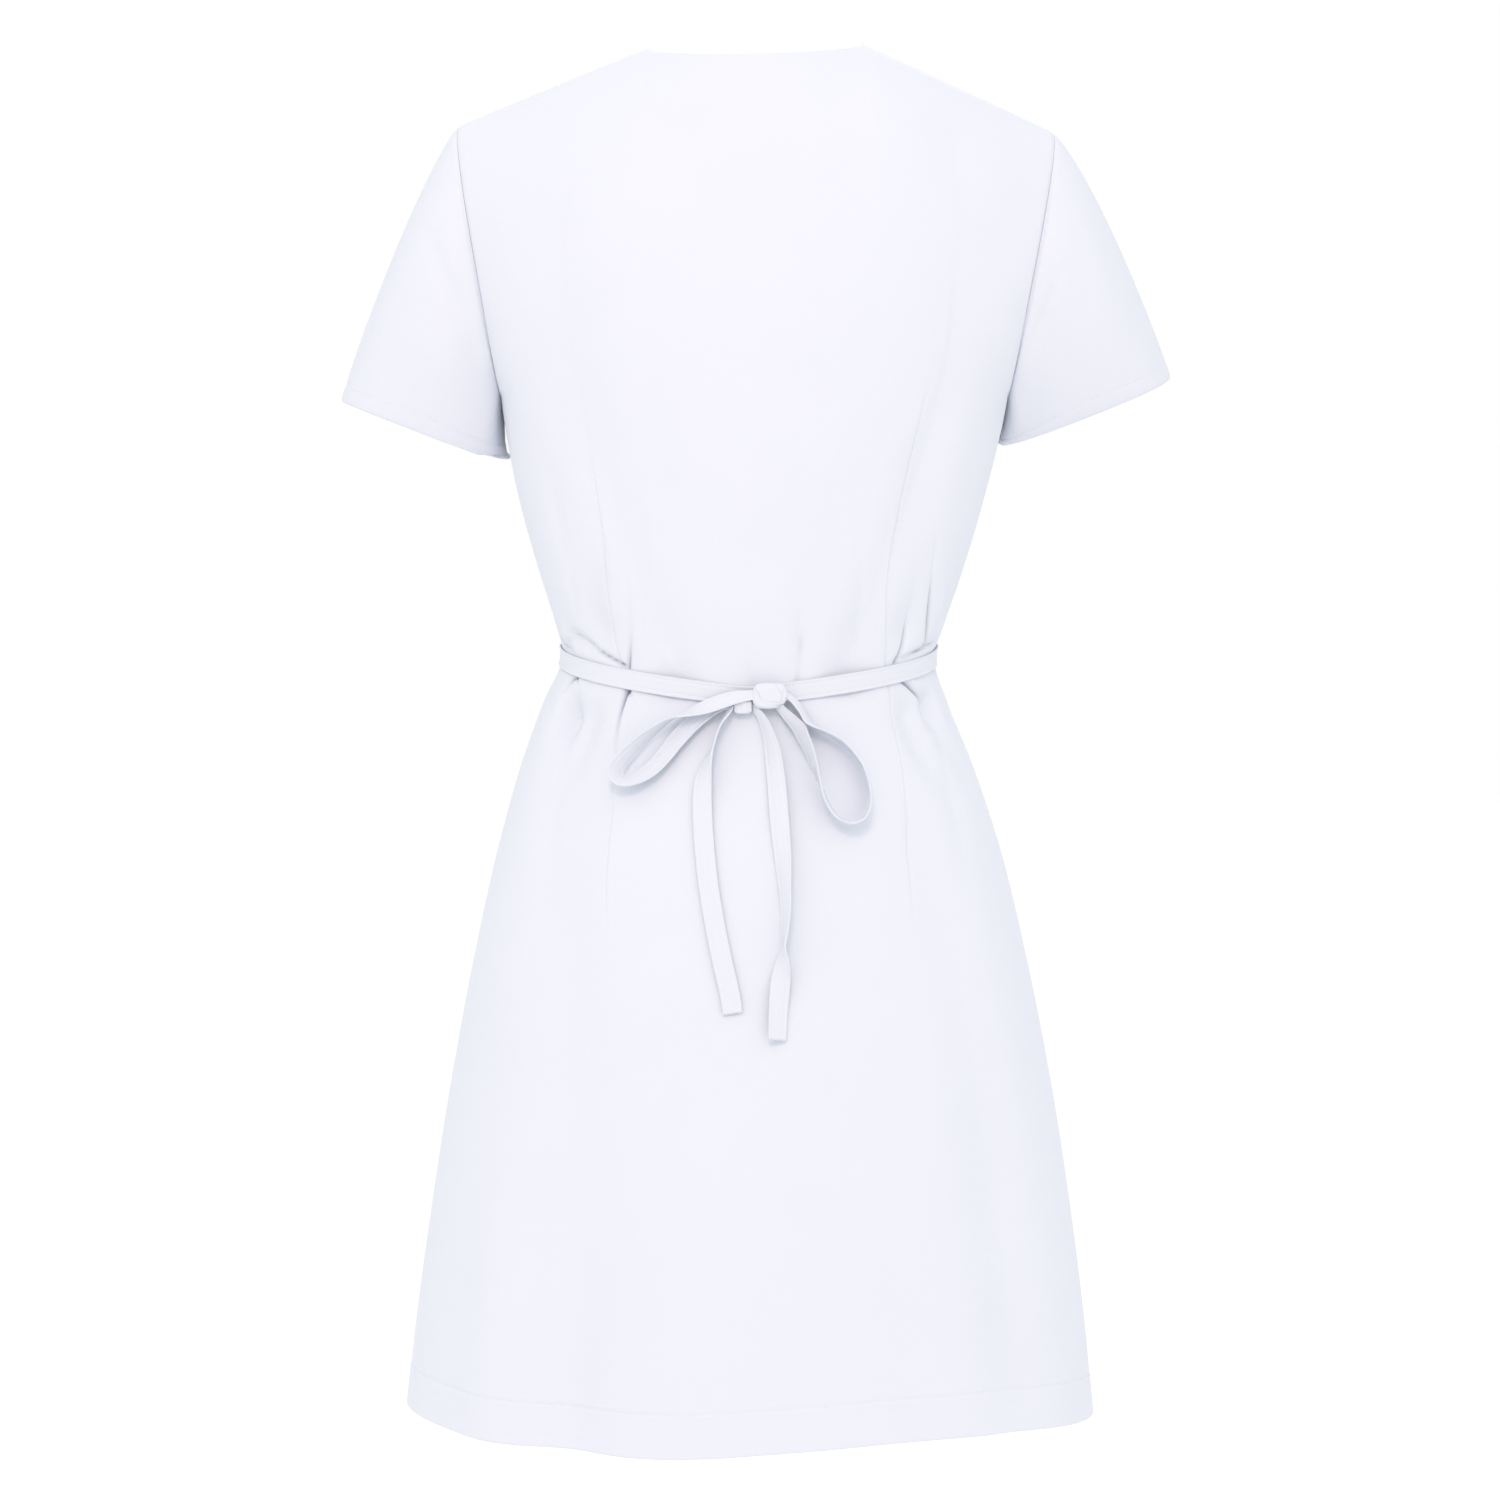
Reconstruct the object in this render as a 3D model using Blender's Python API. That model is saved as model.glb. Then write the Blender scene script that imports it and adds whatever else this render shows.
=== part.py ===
"""White nurse uniform dress with short sleeves and a tie bow at the back.

The dress is empty and filled out as if worn: an open neck, hem and cuffs, and a tie that
pulls the waist in. It faces -Y, its back faces +Y, and the wearer's left is +X. The origin
lies midway between the two points where the neckline meets the shoulder seams.

Every place on the cloth has two coordinates: `across`, which runs from -1 at the wearer's
right side seam to +1 at the left one, and `level`, its height at the side seam.
"""

import math

import bmesh
import bpy
import numpy as np

# Cloth and seams, in metres
CLOTH_WALL = 0.0015
SEAM_GAP = 0.0003

# Levels of the dress
HEM_LEVEL = -0.9245
UNDERARM_LEVEL = -0.240
TIE_LEVEL = -0.413
TIE_DROP = 0.031            # how far the tie hangs lower at the centre back
TIE_DROP_POWER = 1.15
TIE_DROP_REACH = 0.150      # levels within this of the tie follow it down
FRONT_TIE_RISE = 0.010      # how far the tie rises from the side seam to the front dart

# Neck and shoulders
NECK_HALF = 0.072
NECK_ACROSS = 0.275         # where the neck point lies across a panel
BACK_NECK_DEPTH = 0.062
BACK_NECK_DIP = 0.0186
FRONT_NECK_DEPTH = 0.118
FRONT_NECK_DIP = 0.195
SHOULDER_HALF = 0.2023
SHOULDER_DROP = 0.0565
NECK_TILT = 0.0018          # the right neck point lies this much above the middle
SHOULDER_TILT = 0.0020      # the left shoulder point lies this much above the middle
HEM_TILT = 0.0036           # the hem rises this much at the left side seam
HEM_SWAY = 0.0060           # the back hem hangs lower left of the middle, higher right of it

# Body: one row for each level, the widths and depths measured from the centre line
SECTIONS = np.array(
    [
        (-0.9245, 0.2330, 0.155, 0.150, 1.85, 1.90, 0.0000),
        (-0.8660, 0.2270, 0.153, 0.145, 1.88, 1.92, -0.0005),
        (-0.7900, 0.2170, 0.149, 0.137, 1.93, 1.95, -0.0010),
        (-0.7030, 0.2035, 0.143, 0.129, 2.00, 2.00, -0.0010),
        (-0.6220, 0.1880, 0.136, 0.121, 2.10, 2.10, -0.0005),
        (-0.5400, 0.1690, 0.122, 0.112, 2.10, 2.10, 0.0005),
        (-0.4860, 0.1525, 0.109, 0.104, 2.05, 2.05, 0.0020),
        (-0.4450, 0.1370, 0.098, 0.097, 2.05, 2.05, 0.0030),
        (-0.4130, 0.1262, 0.094, 0.093, 2.05, 2.05, 0.0010),
        (-0.3900, 0.1325, 0.096, 0.099, 2.05, 2.05, 0.0000),
        (-0.3600, 0.1425, 0.101, 0.115, 2.10, 2.10, -0.0005),
        (-0.3090, 0.1575, 0.107, 0.132, 2.15, 2.20, -0.0010),
        (-0.2400, 0.1720, 0.112, 0.137, 2.20, 2.30, -0.0030),
        (0.0000, 0.1720, 0.112, 0.137, 2.20, 2.30, -0.0040),
    ],
    dtype=[
        ("level", float),
        ("half_width", float),
        ("back_depth", float),
        ("front_depth", float),
        ("back_fullness", float),
        ("front_fullness", float),
        ("lean", float),
    ],
)

# Armhole curves from the underarm to the shoulder point: how the curve leaves each end
ARMHOLE_UNDERARM_PULL = {"back": (0.0, 0.075, 0.008), "front": (-0.004, -0.072, 0.006)}
ARMHOLE_SHOULDER_PULL = {"back": (0.003, 0.050, -0.014), "front": (-0.010, -0.046, -0.014)}
ARMHOLE_PACE = 0.85

# How the cloth arrives at the middle of the neckline and over the shoulder, as shares of its rise
NECK_ARRIVAL = {"back": np.array((0.0, -0.50, 0.78)), "front": np.array((0.0, 0.35, 0.93))}
SHOULDER_ARRIVAL = {
    "back": np.array((0.0, -1.14, 0.12)),
    "front": np.array((0.0, 1.05, 0.10)),
}

# Folds: troughs have a negative height; places are across the panel, top and bottom are levels
FOLDS = np.array(
    [
        ("back", -0.43, -1.10, 0.37, 0.36, 0.09, 0.10, 0.75, -0.0085),
        ("back", -0.43, -1.10, 0.54, 0.52, 0.08, 0.10, 0.72, 0.0060),
        ("back", -0.50, -1.10, 0.22, 0.20, 0.12, 0.16, 0.80, 0.0080),
        ("back", -0.46, -1.10, -0.30, -0.34, 0.14, 0.20, 0.75, -0.0080),
        ("back", -0.44, -1.10, -0.52, -0.58, 0.07, 0.09, 0.65, -0.0045),
        ("back", -0.16, -0.52, 0.50, 0.56, 0.09, 0.06, 0.75, -0.0075),
        ("back", -0.16, -0.52, -0.50, -0.60, 0.09, 0.06, 0.75, -0.0070),
        ("back", -0.30, -0.47, -0.12, -0.17, 0.05, 0.04, 0.75, -0.0045),
        ("back", -0.33, -0.47, 0.72, 0.66, 0.07, 0.06, 0.80, -0.0090),
        ("back", -0.34, -0.46, -0.80, -0.72, 0.06, 0.05, 0.80, -0.0070),
        ("back", -0.39, -0.56, 0.72, 0.60, 0.05, 0.07, 0.30, -0.0070),
        ("back", -0.39, -0.54, -0.68, -0.80, 0.05, 0.07, 0.30, -0.0060),
        ("front", -0.43, -1.15, 0.30, 0.40, 0.10, 0.13, 0.72, -0.0090),
        ("front", -0.43, -1.15, -0.36, -0.42, 0.10, 0.13, 0.72, -0.0085),
        ("front", -0.46, -1.15, 0.03, -0.02, 0.12, 0.15, 0.75, 0.0070),
        ("front", -0.20, -0.48, 0.46, 0.52, 0.10, 0.07, 0.75, -0.0070),
        ("front", -0.20, -0.48, -0.48, -0.54, 0.10, 0.07, 0.75, -0.0070),
        ("front", -0.33, -0.46, 0.16, 0.22, 0.06, 0.05, 0.75, -0.0050),
        ("front", -0.33, -0.46, -0.20, -0.26, 0.06, 0.05, 0.75, -0.0045),
    ],
    dtype=[
        ("side", "U5"),
        ("top", float),
        ("bottom", float),
        ("across_top", float),
        ("across_bottom", float),
        ("width_top", float),
        ("width_bottom", float),
        ("peak", float),
        ("height", float),
    ],
)
FOLD_CLEAR_OF_SEAM = 0.12   # folds die out over this share of the panel beside each seam
TIE_PRESS = 0.010           # the tie presses folds flat within this height of its middle
TIE_PRESS_SOFTNESS = 0.022

# Grid of each panel
ACROSS_STEPS = 26
NECK_STEPS = 6
LOWER_LEVELS = (
    HEM_LEVEL, -0.890, -0.850, -0.805, -0.760, -0.715, -0.670, -0.628, -0.588, -0.550,
    -0.515, -0.485, -0.460, -0.440, -0.427, -0.4195, -0.4065, -0.399, -0.387, -0.370,
    -0.348, -0.322, -0.296, -0.268,
)
YOKE_STEPS = 11

# Sleeves: the cuff's centre, its half width towards the outside and its half depth to the back
SLEEVES = {
    "left": {
        "hand": 1,
        "centre": np.array((0.2192, -0.020, -0.2536)),
        "outward": np.array((0.0543, 0.008, 0.0225)),
        "backward": np.array((0.0, 0.0446, -0.0063)),
        "top_leaving": np.array((0.58, 0.00, -0.81)),
    },
    "right": {
        "hand": -1,
        "centre": np.array((-0.2264, -0.040, -0.2368)),
        "outward": np.array((-0.0585, 0.008, 0.0240)),
        "backward": np.array((0.0, 0.0437, -0.0108)),
        "top_leaving": np.array((0.66, 0.00, -0.75)),
    },
}
SLEEVE_STEPS = 8
# How the left sleeve's cloth leaves the armhole at its back, front and underarm
SLEEVE_LEAVING = {
    "back": np.array((0.85, 0.25, -0.45)),
    "front": np.array((0.85, -0.30, -0.45)),
    "underarm": np.array((0.14, -0.33, -0.93)),
}
SLEEVE_ARRIVING = 0.80

# Tie: a flat strap on each side, from the front dart round the side seam to the knot
TIE_WIDTH = 0.013
TIE_WALL = 0.0014
TIE_CLEARANCE = 0.0004
TIE_FRONT_END = 0.56        # across the front panel, where the strap is sewn into the dart
TIE_MIDDLE = -0.062         # across the back panel, where the two straps meet under the knot
TIE_MIDDLE_GAP = 0.002

# Knot and its wrap: place on the back, height off the cloth, and half sizes
KNOTS = np.array(
    [
        ("bow_knot", -0.0123, -0.4437, 0.0072, 0.0113, 0.0050, 0.0085),
        ("bow_wrap", 0.0044, -0.4512, 0.0054, 0.0054, 0.0030, 0.0040),
    ],
    dtype=[
        ("name", "U12"),
        ("x", float),
        ("z", float),
        ("off", float),
        ("half_x", float),
        ("half_off", float),
        ("half_z", float),
    ],
)
KNOT_SEGMENTS = 18
KNOT_RINGS = 10
KNOT_SQUARENESS = 0.78      # 1 would be an ellipsoid, less is nearer a rounded block

# Loops and tails of the bow, from the knot outward: place on the back, height off the cloth,
# turn of the strap in degrees (0 lies flat, 90 stands on edge) and share of its full width
RIBBON_COLUMNS = [
    ("x", float),
    ("z", float),
    ("off", float),
    ("turn", float),
    ("width", float),
]
RIBBONS = {
    "bow_loop_left": np.array(
        [
            (0.0004, -0.4433, 0.0078, 20, 0.55),
            (0.0096, -0.4449, 0.0084, 25, 0.75),
            (0.0190, -0.4484, 0.0090, 30, 0.9),
            (0.0290, -0.4526, 0.0092, 40, 1.0),
            (0.0385, -0.4563, 0.0092, 58, 1.0),
            (0.0507, -0.4613, 0.0092, 83, 1.0),
            (0.0634, -0.4714, 0.0094, 100, 1.0),
            (0.0732, -0.4814, 0.0096, 108, 1.0),
            (0.0802, -0.4894, 0.0098, 114, 1.0),
            (0.0834, -0.4952, 0.0098, 120, 1.0),
            (0.0822, -0.5000, 0.0092, 130, 1.0),
            (0.0768, -0.5010, 0.0080, 144, 1.0),
            (0.0680, -0.4972, 0.0066, 156, 1.0),
            (0.0606, -0.4912, 0.0058, 164, 1.0),
            (0.0541, -0.4833, 0.0052, 168, 1.0),
            (0.0471, -0.4738, 0.0048, 168, 1.0),
            (0.0403, -0.4656, 0.0045, 168, 1.0),
            (0.0329, -0.4582, 0.0044, 166, 1.0),
            (0.0263, -0.4534, 0.0044, 164, 0.9),
            (0.0195, -0.4500, 0.0044, 162, 0.75),
        ],
        dtype=RIBBON_COLUMNS,
    ),
    "bow_loop_right": np.array(
        [
            (-0.0249, -0.4447, 0.0064, 130, 0.5),
            (-0.0304, -0.4508, 0.0068, 120, 0.75),
            (-0.0372, -0.4596, 0.0076, 106, 0.95),
            (-0.0437, -0.4665, 0.0078, 100, 1.0),
            (-0.0514, -0.4716, 0.0078, 102, 1.0),
            (-0.0591, -0.4774, 0.0078, 106, 1.0),
            (-0.0661, -0.4851, 0.0078, 111, 1.0),
            (-0.0713, -0.4928, 0.0076, 115, 1.0),
            (-0.0745, -0.5012, 0.0076, 117, 1.0),
            (-0.0757, -0.5108, 0.0078, 112, 1.0),
            (-0.0738, -0.5200, 0.0082, 98, 1.0),
            (-0.0694, -0.5262, 0.0084, 82, 1.0),
            (-0.0624, -0.5280, 0.0084, 70, 1.0),
            (-0.0545, -0.5243, 0.0082, 64, 1.0),
            (-0.0488, -0.5162, 0.0080, 64, 1.0),
            (-0.0454, -0.5072, 0.0080, 70, 1.0),
            (-0.0424, -0.4978, 0.0082, 84, 1.0),
            (-0.0390, -0.4880, 0.0084, 100, 1.0),
            (-0.0349, -0.4768, 0.0082, 112, 1.0),
            (-0.0299, -0.4668, 0.0078, 122, 0.9),
            (-0.0250, -0.4594, 0.0070, 132, 0.7),
            (-0.0207, -0.4540, 0.0062, 140, 0.5),
        ],
        dtype=RIBBON_COLUMNS,
    ),
    "bow_tail_left": np.array(
        [
            (0.0128, -0.4493, 0.0048, 30, 0.5),
            (0.0140, -0.4535, 0.0054, 50, 0.65),
            (0.0165, -0.4588, 0.0062, 68, 0.8),
            (0.0198, -0.4662, 0.0070, 80, 0.95),
            (0.0233, -0.4774, 0.0072, 78, 1.0),
            (0.0278, -0.4903, 0.0058, 50, 1.0),
            (0.0303, -0.5045, 0.0036, 15, 1.0),
            (0.0302, -0.5237, 0.0024, 0, 1.0),
            (0.0289, -0.5429, 0.0020, 0, 1.0),
            (0.0262, -0.5670, 0.0020, 0, 1.0),
            (0.0217, -0.5935, 0.0020, 0, 1.0),
            (0.0172, -0.6149, 0.0020, 0, 1.0),
            (0.0127, -0.6345, 0.0020, 0, 1.0),
            (0.0108, -0.6465, 0.0020, 0, 1.0),
        ],
        dtype=RIBBON_COLUMNS,
    ),
    "bow_tail_right": np.array(
        [
            (-0.0045, -0.4538, 0.0046, 40, 0.4),
            (-0.0074, -0.4585, 0.0050, 48, 0.55),
            (-0.0110, -0.4675, 0.0054, 48, 0.75),
            (-0.0142, -0.4819, 0.0054, 42, 1.0),
            (-0.0168, -0.5013, 0.0044, 26, 1.0),
            (-0.0186, -0.5237, 0.0042, 22, 1.0),
            (-0.0205, -0.5453, 0.0046, 35, 1.0),
            (-0.0217, -0.5649, 0.0058, 55, 1.0),
            (-0.0223, -0.5819, 0.0068, 66, 1.0),
            (-0.0216, -0.5964, 0.0072, 76, 1.0),
            (-0.0210, -0.6058, 0.0072, 85, 1.0),
            (-0.0203, -0.6153, 0.0064, 50, 1.0),
            (-0.0191, -0.6280, 0.0044, 10, 1.0),
            (-0.0178, -0.6445, 0.0036, -15, 1.0),
            (-0.0171, -0.6635, 0.0042, -25, 1.0),
        ],
        dtype=RIBBON_COLUMNS,
    ),
}
RIBBON_STEPS = 2            # stretches between two rows of a ribbon's table

# Materials: colour, roughness
CLOTH_COLOUR = (0.84, 0.85, 0.90, 1.0)
CLOTH_ROUGHNESS = 0.72


def clear_scene():
    """Remove every object, so that the model is alone in the file."""
    for item in list(bpy.data.objects):
        bpy.data.objects.remove(item, do_unlink=True)


def cloth_material(name):
    """Give one piece its own plain white cloth."""
    material = bpy.data.materials.new(name)
    material.use_nodes = True
    shader = material.node_tree.nodes["Principled BSDF"]
    shader.inputs["Base Color"].default_value = CLOTH_COLOUR
    shader.inputs["Roughness"].default_value = CLOTH_ROUGHNESS
    shader.inputs["Metallic"].default_value = 0.0
    return material


def smooth_step(low, high, value):
    """Rise smoothly from 0 at `low` to 1 at `high`."""
    share = np.clip((value - low) / (high - low), 0.0, 1.0)
    return share * share * (3.0 - 2.0 * share)


def unit(vectors):
    """Scale vectors to length 1."""
    return vectors / np.linalg.norm(vectors, axis=-1, keepdims=True)


def hermite(start, start_pull, end, end_pull, share):
    """Cubic curve between two points that leaves and arrives along the two pulls."""
    share = share[..., None]
    square = share * share
    cube = square * share
    return (
        start * (2.0 * cube - 3.0 * square + 1.0)
        + start_pull * (cube - 2.0 * square + share)
        + end * (3.0 * square - 2.0 * cube)
        + end_pull * (cube - square)
    )


def through(knots, values, place):
    """Read a smooth curve through the values at the knots."""
    slopes = np.gradient(values, knots)
    first = np.clip(np.searchsorted(knots, place) - 1, 0, len(knots) - 2)
    span = knots[first + 1] - knots[first]
    share = np.clip((place - knots[first]) / span, 0.0, 1.0)
    return hermite(
        values[first][..., None],
        (slopes[first] * span)[..., None],
        values[first + 1][..., None],
        (slopes[first + 1] * span)[..., None],
        share,
    )[..., 0]


def section(column, level):
    """One measure of the body's section at a level."""
    return through(SECTIONS["level"], SECTIONS[column], level)


def tie_drop(side, across, level):
    """How far the cloth near the tie hangs below its level."""
    share = np.abs(across)
    if side == "back":
        drop = -TIE_DROP * (1.0 - share**TIE_DROP_POWER)
    else:
        drop = FRONT_TIE_RISE * (1.0 - share)
    nearness = np.clip(1.0 - np.abs(level - TIE_LEVEL) / TIE_DROP_REACH, 0.0, 1.0)
    return drop * smooth_step(0.0, 1.0, nearness)


def facing(side):
    """The back panel lies towards +Y, the front panel towards -Y."""
    return 1.0 if side == "back" else -1.0


def below_arms(side, across, level):
    """Place on the smooth body between the hem and the underarm."""
    turn = across * math.pi / 2.0
    power = 2.0 / section(side + "_fullness", level)
    half = section("half_width", level)
    depth = section(side + "_depth", level)
    wide = np.sign(turn) * np.abs(np.sin(turn)) ** power
    deep = np.abs(np.cos(turn)) ** power
    x = section("lean", level) + half * wide
    y = facing(side) * (depth * deep + SEAM_GAP / 2.0)
    sunk = np.clip((TIE_LEVEL - level) / (TIE_LEVEL - HEM_LEVEL), 0.0, 1.0)
    z = level + tie_drop(side, across, level) + HEM_TILT * wide * sunk
    if side == "back":
        z = z - HEM_SWAY * sunk * np.sin(math.pi * across) * (1.0 - across**2)
    return np.stack(np.broadcast_arrays(x, y, z), axis=-1)


def neck_turn(across):
    """Turn round the neckline: 0 at its middle, a right angle from the neck points outward."""
    return np.clip(np.abs(across) / NECK_ACROSS, 0.0, 1.0) * math.pi / 2.0


def top_edge(side, across):
    """Place on the neckline and the shoulder seams."""
    turn = neck_turn(across)
    along_shoulder = np.clip((np.abs(across) - NECK_ACROSS) / (1.0 - NECK_ACROSS), 0.0, 1.0)
    x = NECK_HALF * np.sin(turn) + (SHOULDER_HALF - NECK_HALF) * along_shoulder
    if side == "back":
        y = BACK_NECK_DEPTH * np.cos(turn)
        z = -BACK_NECK_DIP * np.cos(turn)
    else:
        y = -FRONT_NECK_DEPTH * np.cos(turn)
        z = -FRONT_NECK_DIP * (1.0 - np.sin(turn))
    y = y + facing(side) * SEAM_GAP / 2.0
    tilt = SHOULDER_TILT * along_shoulder - NECK_TILT * np.sin(turn) * (1.0 - along_shoulder)
    z = z - SHOULDER_DROP * along_shoulder + np.sign(across) * tilt
    x = np.sign(across) * x + section("lean", np.zeros(1))
    return np.stack(np.broadcast_arrays(x, y, z), axis=-1)


def armhole(side, hand, rise):
    """Place on an armhole; hand is +1 for the wearer's left, rise 0 underarm, 1 shoulder."""
    ends = np.array([float(hand)])
    start = below_arms(side, ends, np.array([UNDERARM_LEVEL]))[0]
    end = top_edge(side, ends)[0]
    mirror = np.array([hand, 1.0, 1.0])
    first = start + mirror * ARMHOLE_UNDERARM_PULL[side]
    second = end + mirror * ARMHOLE_SHOULDER_PULL[side]
    share = (np.asarray(rise) ** ARMHOLE_PACE)[..., None]
    rest = 1.0 - share
    return (
        rest**3 * start
        + 3.0 * rest**2 * share * first
        + 3.0 * rest * share**2 * second
        + share**3 * end
    )


def above_arms(side, across, rise):
    """Place between the underarm level and the neckline or shoulder seam."""
    level = np.full_like(across, UNDERARM_LEVEL)
    step = 0.001
    start = below_arms(side, across, level)
    leaving = unit(start - below_arms(side, across, level - step))
    end = top_edge(side, across)
    length = np.linalg.norm(end - start, axis=-1, keepdims=True)
    over = 1.0 - np.cos(neck_turn(across))[..., None]
    arriving = (1.0 - over) * NECK_ARRIVAL[side] + over * SHOULDER_ARRIVAL[side]
    return hermite(start, leaving * length, end, arriving * length, rise)


def smooth_point(side, across, level):
    """Place on the cloth before its folds."""
    across, level = np.broadcast_arrays(np.asarray(across, float), np.asarray(level, float))
    low = below_arms(side, across, np.minimum(level, UNDERARM_LEVEL))
    rise = np.clip(1.0 - level / UNDERARM_LEVEL, 0.0, 1.0)
    high = above_arms(side, across, rise)
    for hand in (-1, 1):
        edge_column = above_arms(side, np.full_like(across, float(hand)), rise)
        pull = np.clip(across * hand, 0.0, 1.0) ** 3
        high = high + pull[..., None] * (armhole(side, hand, rise) - edge_column)
    return np.where((level > UNDERARM_LEVEL)[..., None], high, low)


def fold_height(side, across, level):
    """How far the folds raise or sink the cloth at a place."""
    total = np.zeros_like(across)
    for fold in FOLDS[FOLDS["side"] == side]:
        share = (fold["top"] - level) / (fold["top"] - fold["bottom"])
        inside = np.clip(share, 0.0, 1.0)
        swell = np.sin(math.pi * inside ** (math.log(0.5) / math.log(fold["peak"]))) ** 2
        middle = fold["across_top"] + (fold["across_bottom"] - fold["across_top"]) * inside
        width = fold["width_top"] + (fold["width_bottom"] - fold["width_top"]) * inside
        total = total + fold["height"] * swell * np.exp(-(((across - middle) / width) ** 2))
    clear = smooth_step(0.0, FOLD_CLEAR_OF_SEAM, 1.0 - np.abs(across))
    away = np.abs(level - TIE_LEVEL)
    free = smooth_step(TIE_PRESS, TIE_PRESS + TIE_PRESS_SOFTNESS, away)
    return total * clear * free


def cloth_point(side, across, level):
    """Place on the outer face of the cloth, folds included."""
    across, level = np.broadcast_arrays(np.asarray(across, float), np.asarray(level, float))
    step = 0.002
    inner = np.clip(across, -0.98, 0.98)
    sideways = smooth_point(side, inner + step, level) - smooth_point(side, inner - step, level)
    upward = smooth_point(side, inner, level + step) - smooth_point(side, inner, level - step)
    outward = unit(np.cross(upward, sideways)) * facing(side)
    raised = outward * fold_height(side, across, level)[..., None]
    return smooth_point(side, across, level) + raised


def cloth_outward(side, across, level):
    """Unit direction straight out of the cloth."""
    step = 0.004
    across, level = np.broadcast_arrays(np.asarray(across, float), np.asarray(level, float))
    inner = np.clip(across, -1.0 + step, 1.0 - step)
    sideways = cloth_point(side, inner + step, level) - cloth_point(side, inner - step, level)
    upward = cloth_point(side, inner, level + step) - cloth_point(side, inner, level - step)
    return unit(np.cross(upward, sideways)) * facing(side)


def back_place(x, z):
    """Find across and level of the back at a width and a height."""
    across = np.zeros_like(x)
    level = np.array(z, float)
    for _ in range(12):
        point = cloth_point("back", across, level)
        across = across + (x - point[..., 0]) / (section("half_width", level) * math.pi / 2.0)
        level = level + z - point[..., 2]
    return across, level


def across_stations():
    """Places across a panel, with one at each neck point."""
    neck = np.linspace(0.0, NECK_ACROSS, NECK_STEPS // 2 + 1)
    shoulder = np.linspace(NECK_ACROSS, 1.0, (ACROSS_STEPS - NECK_STEPS) // 2 + 1)
    half = np.concatenate([neck, shoulder[1:]])
    return np.concatenate([-half[:0:-1], half])


def level_stations():
    """Levels of a panel's rows, from the hem to the top edge."""
    rises = np.linspace(0.0, 1.0, YOKE_STEPS + 1) ** 1.15
    return np.concatenate([np.array(LOWER_LEVELS), UNDERARM_LEVEL * (1.0 - rises)])


def face_normals(points):
    """Normal of each cell of a grid of points, its length being the cell's area."""
    first = points[1:, 1:] - points[:-1, :-1]
    second = points[1:, :-1] - points[:-1, 1:]
    return np.cross(first, second)


def grid_normals(points, outward, closed):
    """Unit normals at a grid's points; outward is +1 or -1, closed joins the last column."""
    if closed:
        points = np.concatenate([points, points[:, :1]], axis=1)
    faces = face_normals(points) * outward
    total = np.zeros_like(points)
    total[:-1, :-1] += faces
    total[:-1, 1:] += faces
    total[1:, :-1] += faces
    total[1:, 1:] += faces
    if closed:
        total[:, 0] += total[:, -1]
        total = total[:, :-1]
    return unit(total)


def wall_mesh(name, outer, inner, closed):
    """Closed wall between two grids of points of the same shape."""
    rows, columns = outer.shape[:2]
    count = rows * columns
    points = np.concatenate([outer.reshape(-1, 3), inner.reshape(-1, 3)])
    faces = []

    def corner(row, column, layer):
        return layer * count + row * columns + column % columns

    spans = columns if closed else columns - 1
    for row in range(rows - 1):
        for column in range(spans):
            square = ((row, column), (row, column + 1), (row + 1, column + 1), (row + 1, column))
            faces.append([corner(r, c, 0) for r, c in square])
            faces.append([corner(r, c, 1) for r, c in reversed(square)])
    for row, turn in ((0, 1), (rows - 1, -1)):
        for column in range(spans):
            rim = [(column, 0), (column, 1), (column + 1, 1), (column + 1, 0)]
            faces.append([corner(row, c, layer) for c, layer in rim[::turn]])
    if not closed:
        for column, turn in ((0, -1), (columns - 1, 1)):
            for row in range(rows - 1):
                rim = [(row, 0), (row, 1), (row + 1, 1), (row + 1, 0)]
                faces.append([corner(r, column, layer) for r, layer in rim[::turn]])
    mesh = bpy.data.meshes.new(name)
    mesh.from_pydata([tuple(point) for point in points], [], faces)
    mesh.validate()
    return mesh


def add_piece(name, mesh):
    """Put a mesh into the scene as one named sub-part with its own cloth."""
    mesh.materials.append(cloth_material(name + "_cloth"))
    mesh.shade_smooth()
    piece = bpy.data.objects.new(name, mesh)
    bpy.context.scene.collection.objects.link(piece)
    return piece


def turn_faces_outward(mesh):
    """Flip a closed mesh whose faces point inward."""
    volume = 0.0
    for face in mesh.polygons:
        corners = [mesh.vertices[index].co for index in face.vertices]
        for second, third in zip(corners[1:-1], corners[2:]):
            volume += corners[0].dot(second.cross(third))
    if volume < 0.0:
        mesh.flip_normals()


def ring_turns(loop):
    """Turn of each armhole point round the sleeve: half a turn underarm, 0 at the top."""
    steps = len(loop) // 2
    closed_loop = np.concatenate([loop, loop[:1]])
    spans = np.linalg.norm(np.diff(closed_loop, axis=0), axis=1)
    along = np.concatenate([[0.0], np.cumsum(spans)])
    back_share = along[: steps + 1] / along[steps]
    front_share = (along[steps:-1] - along[steps]) / (along[-1] - along[steps])
    return np.concatenate([math.pi * (1.0 - back_share), -math.pi * front_share[1:]])


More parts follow.
